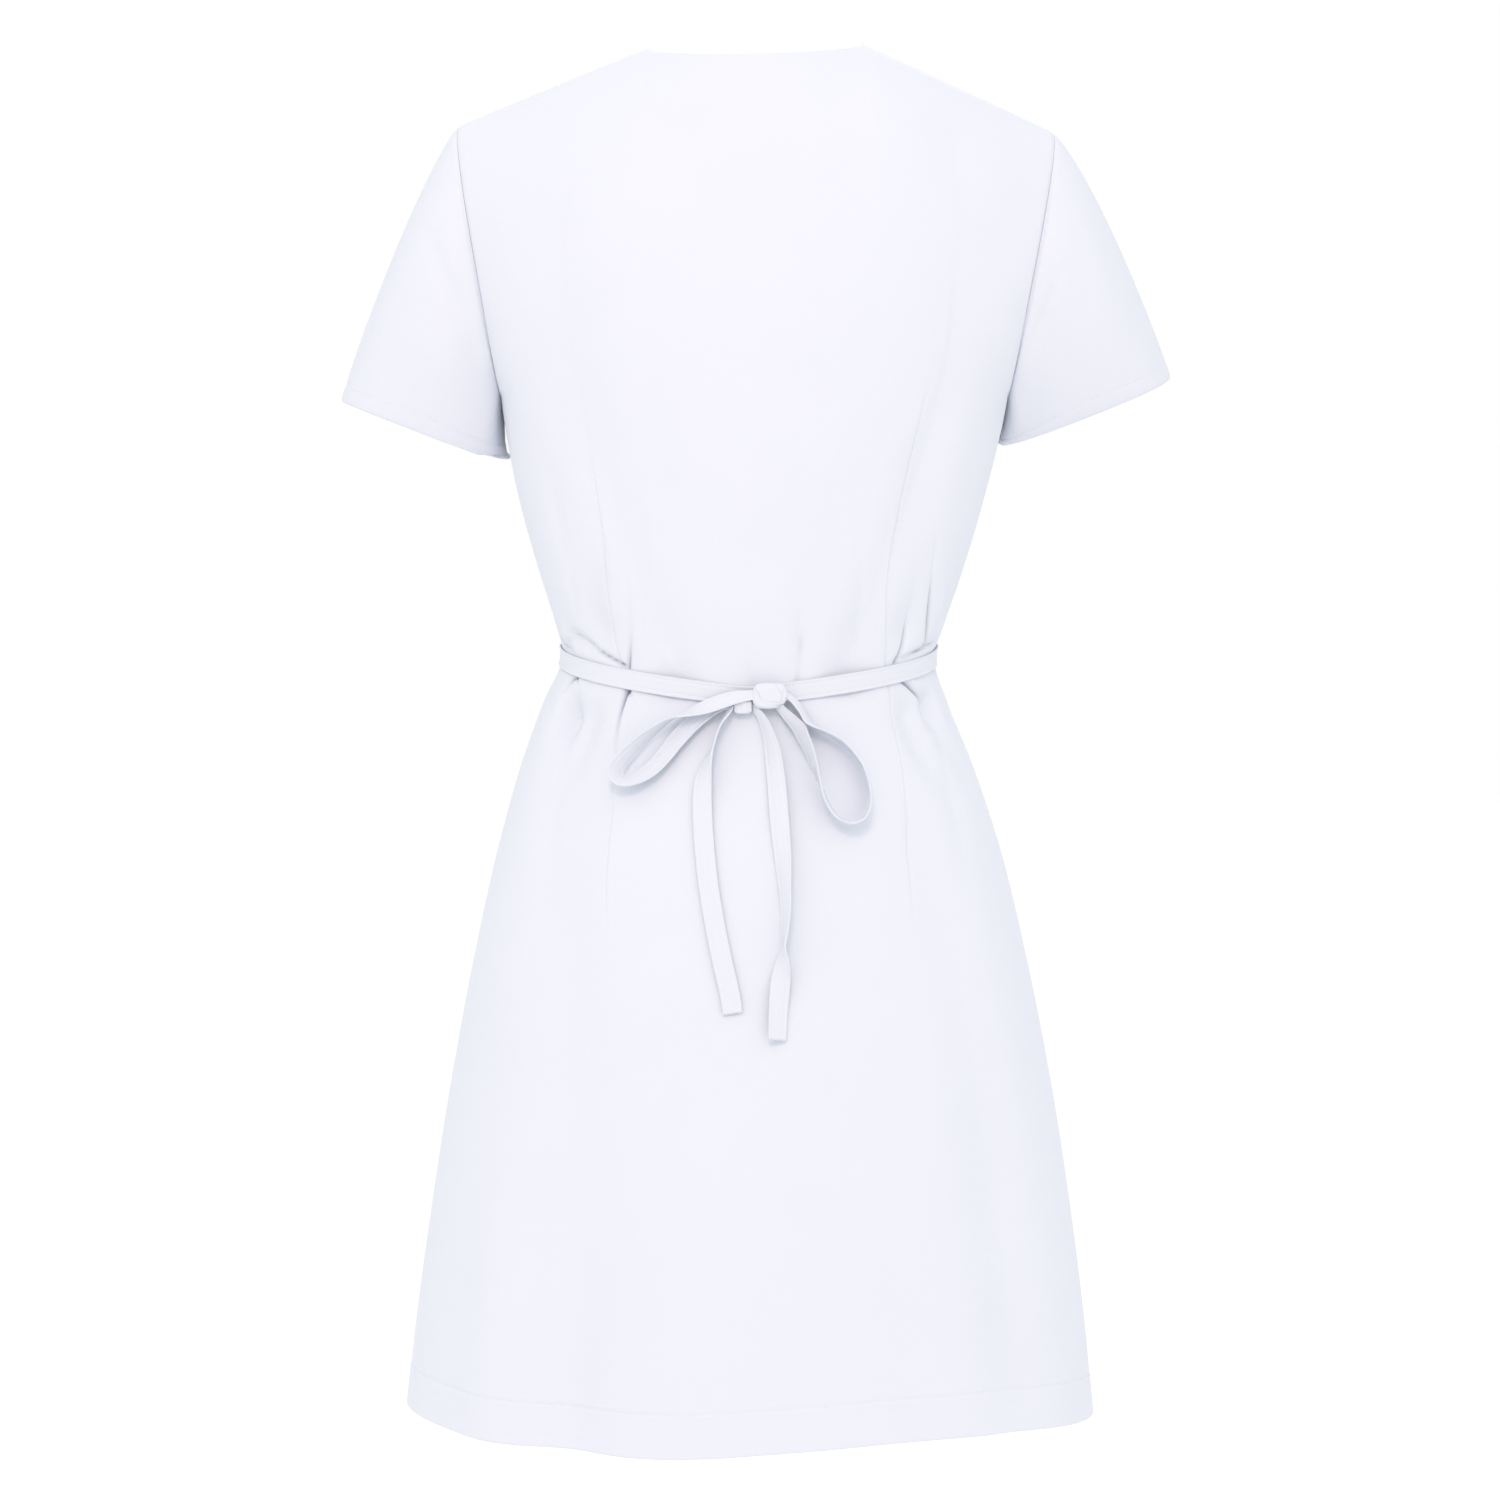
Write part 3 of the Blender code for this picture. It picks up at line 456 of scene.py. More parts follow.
def cloth_point(side, across, level):
    """Place on the outer face of the cloth with its large folds."""
    across, level = np.broadcast_arrays(np.asarray(across, float), np.asarray(level, float))
    step = 0.002
    inner = np.clip(across, -0.98, 0.98)
    sideways = smooth_point(side, inner + step, level) - smooth_point(side, inner - step, level)
    upward = smooth_point(side, inner, level + step) - smooth_point(side, inner, level - step)
    outward = unit(np.cross(upward, sideways)) * facing(side)
    raised = outward * fold_height(side, across, level)[..., None]
    return smooth_point(side, across, level) + raised


def cloth_outward(side, across, level):
    """Unit direction straight out of the cloth."""
    step = 0.004
    across, level = np.broadcast_arrays(np.asarray(across, float), np.asarray(level, float))
    inner = np.clip(across, -1.0 + step, 1.0 - step)
    sideways = cloth_point(side, inner + step, level) - cloth_point(side, inner - step, level)
    upward = cloth_point(side, inner, level + step) - cloth_point(side, inner, level - step)
    return unit(np.cross(upward, sideways)) * facing(side)


def back_place(x, z):
    """Find across and level of the back at a width and a height."""
    across = np.zeros_like(x)
    level = np.array(z, float)
    for _ in range(12):
        point = cloth_point("back", across, level)
        across = across + (x - point[..., 0]) / (section("half_width", level) * math.pi / 2.0)
        level = level + z - point[..., 2]
    return across, level


print("the back's waist lies at", cloth_point("back", 0.0, TIE_LEVEL).round(3))

# %% [markdown]
# ## Creases
# Where the tie gathers the waist, the cloth breaks into short sharp creases that fan out from
# the strap, and the darts show as fine sewn lines. They could be sculpted or simulated, but
# the real ones lie in known places, so each is a row of a table: a curve through three
# places on the panel, its width at both ends, and its height at the start, middle and end.
# Widths and heights are in millimetres.

# %% Tables of creases
CREASE_COLUMNS = "side a0 l0 a1 l1 a2 l2 width_start width_end h0 h1 h2"
CREASES = table(
    CREASE_COLUMNS,
    """
    # below the tie, left of the wearer, then right
    back 0.712 -0.4190 0.752 -0.4252 0.790 -0.4345 1.5 1.8 -3.4 -2.2 0.0
    back 0.712 -0.4190 0.690 -0.4240 0.668 -0.4310 1.3 2.0 -2.2 -0.8 0.0
    back 0.423 -0.4190 0.421 -0.4370 0.391 -0.4640 1.5 1.6 -4.0 -2.2 -1.0
    back 0.423 -0.4190 0.400 -0.4235 0.368 -0.4300 1.4 2.4 -2.8 -1.2 0.0
    back -0.591 -0.4180 -0.6625 -0.4282 -0.734 -0.4384 1.5 1.7 -3.8 -4.2 -1.2
    back -0.620 -0.4190 -0.730 -0.4290 -0.830 -0.4400 3.0 4.0 0.4 1.2 0.0
    back -0.873 -0.4180 -0.934 -0.4250 -0.975 -0.4400 1.4 2.6 -2.2 -1.2 0.0
    # above the tie
    back 0.770 -0.3990 0.700 -0.3930 0.600 -0.3975 4.2 3.4 -2.4 -5.2 -4.2
    back 0.650 -0.3950 0.540 -0.3998 0.440 -0.4045 2.6 1.4 -0.4 -3.0 -3.0
    back 0.800 -0.3900 0.770 -0.3940 0.720 -0.3980 4.5 4.5 0.6 2.6 0.4
    back 0.900 -0.4005 0.840 -0.4030 0.740 -0.4040 2.0 1.6 -2.6 -2.6 -0.8
    back 0.366 -0.3600 0.396 -0.3860 0.424 -0.4060 3.0 1.6 0.0 -1.8 -3.2
    back 0.335 -0.3600 0.355 -0.3860 0.375 -0.4040 4.5 3.5 0.0 0.9 0.4
    back -0.105 -0.3380 -0.149 -0.3800 -0.155 -0.4060 3.2 2.2 0.0 -1.9 -2.0
    back -0.070 -0.3380 -0.105 -0.3800 -0.120 -0.4040 6.0 4.0 0.0 1.2 0.3
    back -0.560 -0.3700 -0.577 -0.3880 -0.545 -0.4060 1.8 1.5 -0.4 -2.4 -3.0
    back -0.560 -0.4045 -0.700 -0.4020 -0.860 -0.4005 1.8 2.6 -1.2 -3.2 -1.6
    back -0.600 -0.3330 -0.655 -0.3690 -0.735 -0.3990 2.2 1.8 -0.4 -2.5 -4.2
    back -0.690 -0.3450 -0.740 -0.3750 -0.820 -0.3960 6.0 5.0 0.0 2.2 1.0
    back 0.020 -0.3800 0.000 -0.3960 -0.010 -0.4055 8.0 5.0 0.0 -1.4 -2.0
    back 0.290 -0.3900 0.270 -0.3970 0.250 -0.4030 6.0 4.0 0.2 1.3 0.3
    # long soft pulls beside the darts, and over the seat
    back 0.620 -0.2700 0.610 -0.3200 0.640 -0.3800 9.0 5.0 0.0 -1.6 -1.0
    back 0.290 -0.2600 0.300 -0.3200 0.340 -0.3800 9.0 5.0 0.0 -1.2 -0.6
    back -0.300 -0.2700 -0.300 -0.3300 -0.360 -0.3900 9.0 5.0 0.0 -1.4 -0.8
    back -0.760 -0.4460 -0.640 -0.5100 -0.560 -0.6200 5.0 12.0 -0.8 -1.8 0.0
    back 0.690 -0.4400 0.580 -0.5200 0.520 -0.6400 5.0 12.0 -0.6 -1.8 0.0
    back 0.200 -0.4700 0.190 -0.5600 0.160 -0.6800 8.0 14.0 0.0 -1.2 0.0
    back -0.180 -0.4600 -0.200 -0.5600 -0.170 -0.7000 8.0 14.0 0.0 -1.3 0.0
    # broad soft troughs and ridges
    back 0.600 -0.4500 0.420 -0.6500 0.370 -0.9300 16.0 34.0 -1.0 -4.5 -4.0
    back 0.180 -0.6500 0.140 -0.8000 0.120 -0.9300 26.0 34.0 0.0 2.5 3.0
    back -0.420 -0.4600 -0.480 -0.6200 -0.620 -0.9300 14.0 34.0 -0.6 -4.0 -3.0
    back 0.500 -0.1500 0.420 -0.2800 0.240 -0.4050 20.0 15.0 -0.5 -4.6 -3.2
    back -0.500 -0.1900 -0.470 -0.2900 -0.320 -0.4050 18.0 15.0 -0.5 -4.8 -4.0
    back -0.620 -0.0550 -0.570 -0.0900 -0.530 -0.1400 18.0 20.0 0.0 -3.2 0.0
    back 0.250 -0.2200 0.230 -0.3000 0.210 -0.3800 15.0 12.0 0.0 -1.8 0.0
    back -0.250 -0.2600 -0.240 -0.3200 -0.200 -0.3900 15.0 10.0 0.0 -2.0 0.0
    front 0.560 -0.4600 0.480 -0.6500 0.430 -0.9300 16.0 34.0 -1.0 -4.0 -4.0
    front -0.570 -0.4600 -0.500 -0.6600 -0.470 -0.9300 16.0 34.0 -1.0 -4.0 -3.5
    # front: sewn strap ends, gathered cloth beside them, pulls to the bust and hip
    front 0.565 -0.4190 0.640 -0.4320 0.740 -0.4520 1.5 3.0 -2.4 -1.8 0.0
    front 0.720 -0.4190 0.780 -0.4290 0.850 -0.4440 1.4 3.0 -2.0 -1.1 0.0
    front -0.570 -0.4190 -0.630 -0.4340 -0.700 -0.4560 1.5 3.0 -2.6 -1.7 0.0
    front -0.760 -0.4190 -0.830 -0.4280 -0.900 -0.4400 1.4 3.0 -2.2 -1.2 0.0
    front 0.580 -0.4050 0.620 -0.3850 0.640 -0.3450 1.8 5.0 -2.6 -2.2 0.0
    front -0.585 -0.4050 -0.640 -0.3820 -0.650 -0.3400 1.8 5.0 -2.8 -2.0 0.0
    front 0.760 -0.4050 0.780 -0.3880 0.770 -0.3500 1.8 5.0 -2.4 -1.8 0.0
    front -0.740 -0.4050 -0.770 -0.3860 -0.780 -0.3450 1.8 5.0 -2.4 -1.9 0.0
    front 0.600 -0.4030 0.720 -0.4020 0.860 -0.4010 1.8 2.4 -1.4 -2.8 -1.4
    front -0.600 -0.4030 -0.720 -0.4020 -0.860 -0.4010 1.8 2.4 -1.4 -2.8 -1.4
    front 0.300 -0.2300 0.380 -0.3000 0.470 -0.3800 9.0 6.0 0.0 -1.8 0.0
    front -0.290 -0.2400 -0.370 -0.3100 -0.460 -0.3800 9.0 6.0 0.0 -1.7 0.0
    front 0.700 -0.2500 0.620 -0.2900 0.560 -0.3400 8.0 6.0 -0.8 -1.6 0.0
    front -0.710 -0.2500 -0.620 -0.2950 -0.550 -0.3400 8.0 6.0 -0.8 -1.5 0.0
    front 0.080 -0.4200 0.100 -0.5200 0.060 -0.6800 9.0 15.0 0.0 -1.5 0.0
    front -0.120 -0.4200 -0.130 -0.5300 -0.160 -0.7000 9.0 15.0 0.0 -1.4 0.0
    """,
    words=1,
)

# Sewn lines of the fisheye darts: levels, how far across they lie, and the sewn stretch
DARTS = {
    ("back", 1): (
        (-0.9245, -0.640, -0.610, -0.554, -0.508, -0.452, -0.4195, -0.390, -0.366, -0.334,
         -0.305, -0.275, 0.0),
        (0.300, 0.316, 0.321, 0.348, 0.361, 0.409, 0.428, 0.470, 0.459, 0.434, 0.437, 0.446,
         0.450),
        (-0.610, -0.275),
    ),
    ("back", -1): (
        (-0.9245, -0.640, -0.543, -0.475, -0.425, -0.391, -0.361, -0.350, -0.319, -0.281,
         -0.250, -0.231, 0.0),
        (0.360, 0.365, 0.405, 0.480, 0.520, 0.475, 0.432, 0.424, 0.422, 0.430, 0.435, 0.459,
         0.470),
        (-0.600, -0.231),
    ),
    ("front", 1): (
        (-0.9245, -0.600, -0.540, -0.480, -0.413, -0.360, -0.310, -0.280, 0.0),
        (0.400, 0.430, 0.465, 0.515, 0.562, 0.520, 0.480, 0.465, 0.460),
        (-0.570, -0.290),
    ),
}
DARTS["front", -1] = DARTS["front", 1]
SHARP_CREASE = 1.4          # power of the fall beside a narrow crease
SOFT_CREASE = 2.0           # and beside a wide one
# Painted shade down narrow deep creases: widest crease, depths it fades in over, width, fall
PAINTED_SHADE_WIDEST = 0.004         # only narrow creases fold in far enough to look shut
PAINTED_SHADE_SHALLOW = 0.0014
PAINTED_SHADE_DEEP = 0.0036
PAINTED_SHADE_SHARE = 0.42
PAINTED_SHADE_HALF = 0.0007
PAINTED_SHADE_FALL = 1.3
DART_DEPTH = 0.0007
DART_WIDTH = 0.0011
DART_LAP = 0.0004           # the cloth lies this much higher on the side the dart is pressed to
DART_LAP_WIDTH = 0.006
print(len(CREASES), "creases and", len(DARTS), "darts")


# %% Work out the creases on a panel
def dart_across(side, hand, level):
    """How far across a dart's line lies at a level."""
    levels, across, _ = DARTS[side, hand]
    return hand * np.interp(level, levels, across)


def nearest_on(path, points):
    """Distance of points to a path, and how far along it the nearest place lies, 0 to 1."""
    best = np.full(len(points), 1e9)
    place = np.zeros(len(points))
    for step in range(len(path) - 1):
        start, span = path[step], path[step + 1] - path[step]
        share = np.clip((points - start) @ span / (span @ span), 0.0, 1.0)
        far = np.linalg.norm(points - start - share[:, None] * span, axis=1)
        closer = far < best
        best[closer] = far[closer]
        place[closer] = (step + share[closer]) / (len(path) - 1)
    return best, place


def crease_path(crease, steps=14):
    """Curve of a crease through its three places, on the smooth cloth."""
    share = np.linspace(0.0, 1.0, steps)
    weights = (
        (1.0 - share) * (1.0 - 2.0 * share),
        4.0 * share * (1.0 - share),
        share * (2.0 * share - 1.0),
    )
    across = sum(w * crease[key] for w, key in zip(weights, ("a0", "a1", "a2")))
    level = sum(w * crease[key] for w, key in zip(weights, ("l0", "l1", "l2")))
    return smooth_point(str(crease["side"]), across, level)


def crease_height(side, smooth):
    """How far the creases raise or sink a grid of points, and the painted shade in narrow deep ones.
    """
    flat = smooth.reshape(-1, 3)
    total = np.zeros(len(flat))
    painted_crease_shade = np.zeros(len(flat))
    for crease in CREASES[CREASES["side"] == side]:
        path = crease_path(crease)
        reach = 0.003 * max(crease["width_start"], crease["width_end"])
        near = np.all((flat > path.min(0) - reach) & (flat < path.max(0) + reach), axis=1)
        far, place = nearest_on(path, flat[near])
        width = 0.001 * np.interp(place, (0, 1), (crease["width_start"], crease["width_end"]))
        height = 0.001 * np.interp(place, (0, 0.5, 1), [crease[h] for h in ("h0", "h1", "h2")])
        sharp = SHARP_CREASE + (SOFT_CREASE - SHARP_CREASE) * smooth_step(0.003, 0.008, width)
        total[near] += height * bell(far, width, sharp)
        # painted shade down the middle of narrow creases that sink deep enough
        if width.max() < PAINTED_SHADE_WIDEST:
            deep = smooth_step(PAINTED_SHADE_SHALLOW, PAINTED_SHADE_DEEP, -height)
            painted_crease_shade[near] += deep * bell(far, np.minimum(PAINTED_SHADE_SHARE * width, PAINTED_SHADE_HALF), PAINTED_SHADE_FALL)
    return total.reshape(smooth.shape[:2]), np.clip(painted_crease_shade, 0.0, 1.0).reshape(smooth.shape[:2])


def dart_height(side, across, level, smooth):
    """Fine groove of each dart's seam, and the slight lap beside it."""
    total = np.zeros_like(across)
    run = along(smooth, 1)
    for hand in (-1, 1):
        low, high = DARTS[side, hand][2]
        line = dart_across(side, hand, level[:, 0])
        sewn = np.array([np.interp(a, row, r) for a, row, r in zip(line, across, run)])
        aside = (run - sewn[:, None]) * -hand
        shown = smooth_step(low, low + 0.05, level) * smooth_step(-high, 0.05 - high, -level)
        groove = -DART_DEPTH * bell(aside, DART_WIDTH)
        lap = DART_LAP * np.exp(-aside / DART_LAP_WIDTH) * smooth_step(0.0, 0.001, aside)
        total += (groove + np.where(aside > 0.0, lap, 0.0)) * shown
    return total


print("crease curves ready")

# %% [markdown]
# ## Grids of cloth
# A panel is a grid of points, finer where something small happens: along the darts, round the
# tie, at the hem and beside each seam. Uniform fine subdivision would give the same detail
# with several times the faces. Each grid becomes a thin wall, because real cloth has two
# faces and an edge, and it grows thicker where a hem is turned up inside.

# %% Stations of the grids
SHELL = 0.0006              # thickness of the cloth
HEM_TURN = 0.028            # width of the dress's turned hem
HEM_LAYERS = 0.0010         # what the turned hem adds to the thickness
NECK_TURN = 0.007
NECK_LAYERS = 0.0006
SEAM_SINK = 0.0010          # how deep the cloth rolls into a seam
SEAM_ROLL = 0.0021
SEAM_CLOSE = 0.00013        # how far each edge moves to shut the gap of a seam
HEM_STITCH_DEPTH = 0.0004
HEM_STITCH_WIDTH = 0.0012
NECK_COLUMNS = 18
SIDE_COLUMNS = 90
UPRIGHT_CREASE = 0.012      # creases that run further down than this get columns of their own
CREASE_BEYOND = 0.020
# Closer columns in a row: how many times closer, and over what width
DART_CLOSE = (0.8, 0.035)
SIDE_SEAM_CLOSE = (5.0, 0.010)
SEWN_DART_CLOSE = (5.0, 0.010)
CREASE_CLOSE = (6.0, 0.011)
NECK_POINT_CLOSE = (1.5, 0.020)
TURN_SOFTNESS = 0.001       # a turned hem ends over twice this width
HEM_RAISE = 0.00025
EDGE_SINK = 0.45            # how far an edge falls, and how much it thins, as shares
EDGE_THIN = 0.85
UNDERARM_BLUR = 0.020
UNDERARM_REACH = 0.045
NECK_POINT_BLUR = 0.045
NECK_POINT_REACH = 0.14


def spread(low, high, spacing, steps=4000):
    """Places between two ends, as close together as the spacing says at each of them."""
    fine = np.linspace(low, high, steps)
    count = np.concatenate([[0.0], np.cumsum(np.diff(fine) / spacing(fine[:-1]))])
    number = int(math.ceil(count[-1]))
    return np.interp(np.linspace(0.0, count[-1], number + 1), count, fine)


def row_spacing(level):
    """Wanted distance between rows of a panel at a level."""
    close = np.full_like(level, 0.0085)
    for middle, reach, fine in (
        (TIE_LEVEL - 0.004, 0.020, 0.0015),
        (TIE_LEVEL - 0.004, 0.055, 0.0036),
        (HEM_LEVEL + HEM_TURN, 0.003, 0.0008),
        (HEM_LEVEL, 0.002, 0.0004),
        (UNDERARM_LEVEL, 0.010, 0.0030),
        (0.0, 0.004, 0.0006),
        (0.0, 0.012, 0.0025),
    ):
        close = np.minimum(close, fine + 0.12 * np.clip(np.abs(level - middle) - reach, 0.0, None))
    return close


def panel_levels():
    """Levels of a panel's rows and the row that lies at the underarm."""
    lower = spread(HEM_LEVEL, UNDERARM_LEVEL, row_spacing)
    upper = spread(UNDERARM_LEVEL, 0.0, row_spacing)
    return np.concatenate([lower, upper[1:]]), len(lower) - 1


def crossed_creases(side, hand, level):
    """How far across the upright creases cross a level, and how much each counts there."""
    crossed = []
    for crease in CREASES[CREASES["side"] == side]:
        down = np.array([-crease["l0"], -crease["l1"], -crease["l2"]])
        places = np.array([crease["a0"], crease["a1"], crease["a2"]]) * hand
        high, low = -min(down[0], down[2]), -max(down[0], down[2])
        if places[1] > NECK_ACROSS and high - low > UPRIGHT_CREASE:
            beyond = max(level - high, low - level, 0.0)
            crossed.append((np.interp(-level, down, places), bell(beyond, CREASE_BEYOND)))
    return crossed


def closer(distance, amount, width):
    """How much closer columns lie near a place."""
    return amount * bell(distance, width)


def panel_columns(side, level):
    """Places across a row: closer beside the dart and the side seam, one at each neck point."""
    fine = np.linspace(NECK_ACROSS, 1.0, 1200)
    halves = []
    for hand in (-1, 1):
        dart = abs(dart_across(side, hand, level))
        weight = 1.0 + closer(fine - dart, *DART_CLOSE)
        weight += closer(1.0 - fine, *SIDE_SEAM_CLOSE)
        low, high = DARTS[side, hand][2]
        sewn = smooth_step(low - 0.03, low + 0.02, level)
        sewn *= smooth_step(-high - 0.03, 0.02 - high, -level)
        weight += sewn * closer(fine - dart, *SEWN_DART_CLOSE)
        for place, shown in crossed_creases(side, hand, level):
            weight += shown * closer(fine - place, *CREASE_CLOSE)
        weight += closer(fine - NECK_ACROSS, *NECK_POINT_CLOSE)
        count = np.concatenate([[0.0], np.cumsum(weight[:-1])])
        side_part = np.interp(np.linspace(0.0, count[-1], SIDE_COLUMNS + 1), count, fine)
        neck_part = np.linspace(0.0, NECK_ACROSS, NECK_COLUMNS + 1)
        halves.append(np.concatenate([neck_part, side_part[1:]]))
    return np.concatenate([-halves[0][:0:-1], halves[1]])


levels, underarm_row = panel_levels()
print(len(levels), "rows of", 2 * (NECK_COLUMNS + SIDE_COLUMNS) + 1, "points in a panel")


# %% Normals of a grid
def grid_normals(points, outward, closed):
    """Unit normals at a grid's points; outward is +1 or -1, closed joins the last column."""
    if closed:
        points = np.concatenate([points, points[:, :1]], axis=1)
    first = points[1:, 1:] - points[:-1, :-1]
    second = points[1:, :-1] - points[:-1, 1:]
    faces = unit(np.cross(first, second)) * outward
    total = np.zeros_like(points)
    total[:-1, :-1] += faces
    total[:-1, 1:] += faces
    total[1:, :-1] += faces
    total[1:, 1:] += faces
    if closed:
        total[:, 0] += total[:, -1]
        total = total[:, :-1]
    return unit(total)


def level_with_seam(normals):
    """Turn normals into the plane of the side and shoulder seams, which face along Y."""
    return unit(normals * np.array([1.0, 0.0, 1.0]))


def join_panels(normals, across):
    """Give both panels the same normals along their side and shoulder seams."""
    sides = (slice(0, underarm_row + 1), [0, -1])
    shoulders = (-1, np.abs(across) > NECK_ACROSS - SEAM_GAP)
    for place in (sides, shoulders):
        shared = level_with_seam(normals["back"][place] + normals["front"][place])
        normals["back"][place] = shared
        normals["front"][place] = shared


# %% Mesh of a thin wall, with its own cloth map
def grid_cells(rows, columns, closed):
    """Corners of each cell of a grid as rows and columns, which may run one past the last."""
    spans = columns if closed else columns - 1
    row, column = np.meshgrid(np.arange(rows - 1), np.arange(spans), indexing="ij")
    corners = ((row, column), (row, column + 1), (row + 1, column + 1), (row + 1, column))
    return np.stack([np.stack(c, axis=-1) for c in corners], axis=2).reshape(-1, 4, 2)


def cloth_map(points, closed):
    """Place of each grid point on the flat cloth, in metres."""
    if closed:
        points = np.concatenate([points, points[:, :1]], axis=1)
    wide = along(points, 1)
    wide = wide - wide[:, wide.shape[1] // 2][:, None]
    return np.stack([wide, along(points, 0)], axis=-1)


def make_mesh(name, points, faces, corner_map):
    """Mesh with a UV map called cloth, its faces turned outward."""
    mesh = bpy.data.meshes.new(name)
    mesh.from_pydata(points.tolist(), [], faces.tolist())
    layer = mesh.uv_layers.new(name="cloth")
    layer.data.foreach_set("uv", corner_map.reshape(-1).astype(np.float32))
    a, b, c, d = (points[faces[:, k]] for k in range(4))
    volume = np.sum(a * np.cross(b, c)) + np.sum(a * np.cross(c, d))
    if volume < 0.0:
        mesh.flip_normals()
    mesh.shade_smooth()
    return mesh


def wall_mesh(name, outer, inner, closed):
    """Closed wall between two grids of points of the same shape."""
    rows, columns = outer.shape[:2]
    size = rows * columns
    places = cloth_map(outer, closed)
    cells = grid_cells(rows, columns, closed)

    def numbered(corners, layer):
        return layer * size + corners[..., 0] * columns + corners[..., 1] % columns

    def mapped(corners):
        return places[corners[..., 0], corners[..., 1]]

    faces = [numbered(cells, 0), numbered(cells[:, ::-1], 1)]
    maps = [mapped(cells), mapped(cells[:, ::-1])]
    rims = []
    spans = np.arange(columns if closed else columns - 1)
    for row, turn in ((0, 1), (rows - 1, -1)):
        near = np.stack([np.full_like(spans, row), spans], axis=-1)
        rims.append((near, near + [0, 1], turn))
    if not closed:
        steps = np.arange(rows - 1)
        for column, turn in ((0, -1), (columns - 1, 1)):
            near = np.stack([steps, np.full_like(steps, column)], axis=-1)
            rims.append((near, near + [1, 0], turn))
    for near, far, turn in rims:
        rim = [numbered(near, 0), numbered(near, 1), numbered(far, 1), numbered(far, 0)]
        faces.append(np.stack(rim[::turn], axis=1))
        rim = [mapped(near), mapped(near), mapped(far), mapped(far)]
        maps.append(np.stack(rim[::turn], axis=1))
    points = np.concatenate([outer.reshape(-1, 3), inner.reshape(-1, 3)])
    return make_mesh(name, points, np.concatenate(faces), np.concatenate(maps))


def tube_mesh(name, rings):
    """Closed strap or cord from rings of points along it, each end closed."""
    rows, columns = rings.shape[:2]
    places = cloth_map(rings, True)
    cells = grid_cells(rows, columns, True)
    faces = [cells[..., 0] * columns + cells[..., 1] % columns]
    maps = [places[cells[..., 0], cells[..., 1]]]
    half = columns // 2
    for row, turn in ((0, 1), (rows - 1, -1)):
        step = np.arange(half - 1)
        end = [step, step + 1, columns - 2 - step, columns - 1 - step]
        corners = np.stack(end[::-turn], axis=1)
        faces.append(row * columns + corners)
        maps.append(places[row, corners])
    return make_mesh(name, rings.reshape(-1, 3), np.concatenate(faces), np.concatenate(maps))


print("grid and mesh helpers ready")

# %% [markdown]
# ## Cloth
# The dress is a plain weave of polyester and cotton, 24 threads to a centimetre, matt with
# a faint sheen. A picture of cloth could be wrapped round it, but a weave drawn from two
# crossing waves stays sharp at any distance. It is built once as a node group: the height of
# the threads, a slow unevenness where some threads are thicker, and a faint tone for each.
# Every material places the group with its own values and keeps its own shader.

# %% Weave node group
THREADS_PER_METRE = 2400.0


def build_weave():
    """Node group that turns a cloth map in metres into thread height and tone."""
    group = bpy.data.node_groups.new("plain_weave", "ShaderNodeTree")
    values = {"Threads": ("Float", THREADS_PER_METRE), "Slub": ("Float", 0.5), "Tone": ("Float", 0.02)}
    add_sockets(group, "INPUT", **values, Cloth="Vector")
    add_sockets(group, "OUTPUT", Height="Float", Tone="Float")
    given = add_node(group, "NodeGroupInput")
    result = add_node(group, "NodeGroupOutput")

    def maths(operation, *values):
        node = add_node(group, "ShaderNodeMath", operation=operation)
        for socket, value in zip(node.inputs, values):
            if isinstance(value, (int, float)):
                socket.default_value = value
            else:
                group.links.new(value, socket)
        return node.outputs[0]

    def noise(scale, detail, giver, output):
        node = add_node(group, "ShaderNodeTexNoise", {"Scale": scale, "Detail": detail})
        join(group, (giver, output, node, "Vector"))
        return maths("SUBTRACT", node.outputs["Fac"], 0.5)

    threads, slub, tone = (given.outputs[name] for name in values)
    split = add_node(group, "ShaderNodeSeparateXYZ")
    join(group, (given, "Cloth", split, 0))
    waves = [
        maths("SINE", maths("MULTIPLY", maths("MULTIPLY", split.outputs[axis], threads), math.pi))
        for axis in (0, 1)
    ]
    uneven = []
    for stretch in ((1.0, 60.0, 1.0), (60.0, 1.0, 1.0)):
        mapping = add_node(group, "ShaderNodeMapping", {"Scale": stretch})
        join(group, (given, "Cloth", mapping, "Vector"))
        uneven.append(noise(25.0, 2.0, mapping, "Vector"))
    thick = maths("MULTIPLY", maths("ADD", *uneven), slub)
    height = maths("ADD", maths("MULTIPLY", *waves), maths("MULTIPLY", thick, 4.0))
    drift = maths("MULTIPLY", noise(14.0, 3.0, given, "Cloth"), tone)
    shade = maths("ADD", 1.0, maths("ADD", drift, maths("MULTIPLY", thick, tone)))
    group.links.new(height, result.inputs["Height"])
    group.links.new(shade, result.inputs["Tone"])
    return group


weave = build_weave()
print("weave group with", len(weave.nodes), "nodes")

# %% Cloth materials
CLOTH_COLOUR = (0.708, 0.750, 0.818, 1.0)
# Painted shade: the cloth's colour is mixed towards this dark blue-grey down narrow deep creases
PAINTED_SHADE_COLOUR = (0.30, 0.31, 0.40, 1.0)     # down in the slit of a shut crease
CLOTHS = {
    "back_cloth": (1.000, 0.00004),
    "front_cloth": (1.000, 0.00004),
    "sleeve_cloth": (0.995, 0.00004),
    "tie_cloth": (0.990, 0.00005),
    "bow_cloth": (0.990, 0.00005),
}


CLOTH_LOOK = {
    "Roughness": 0.68,
    "Specular IOR Level": 0.25,
    "Sheen Weight": 0.06,
    "Sheen Roughness": 0.4,
}


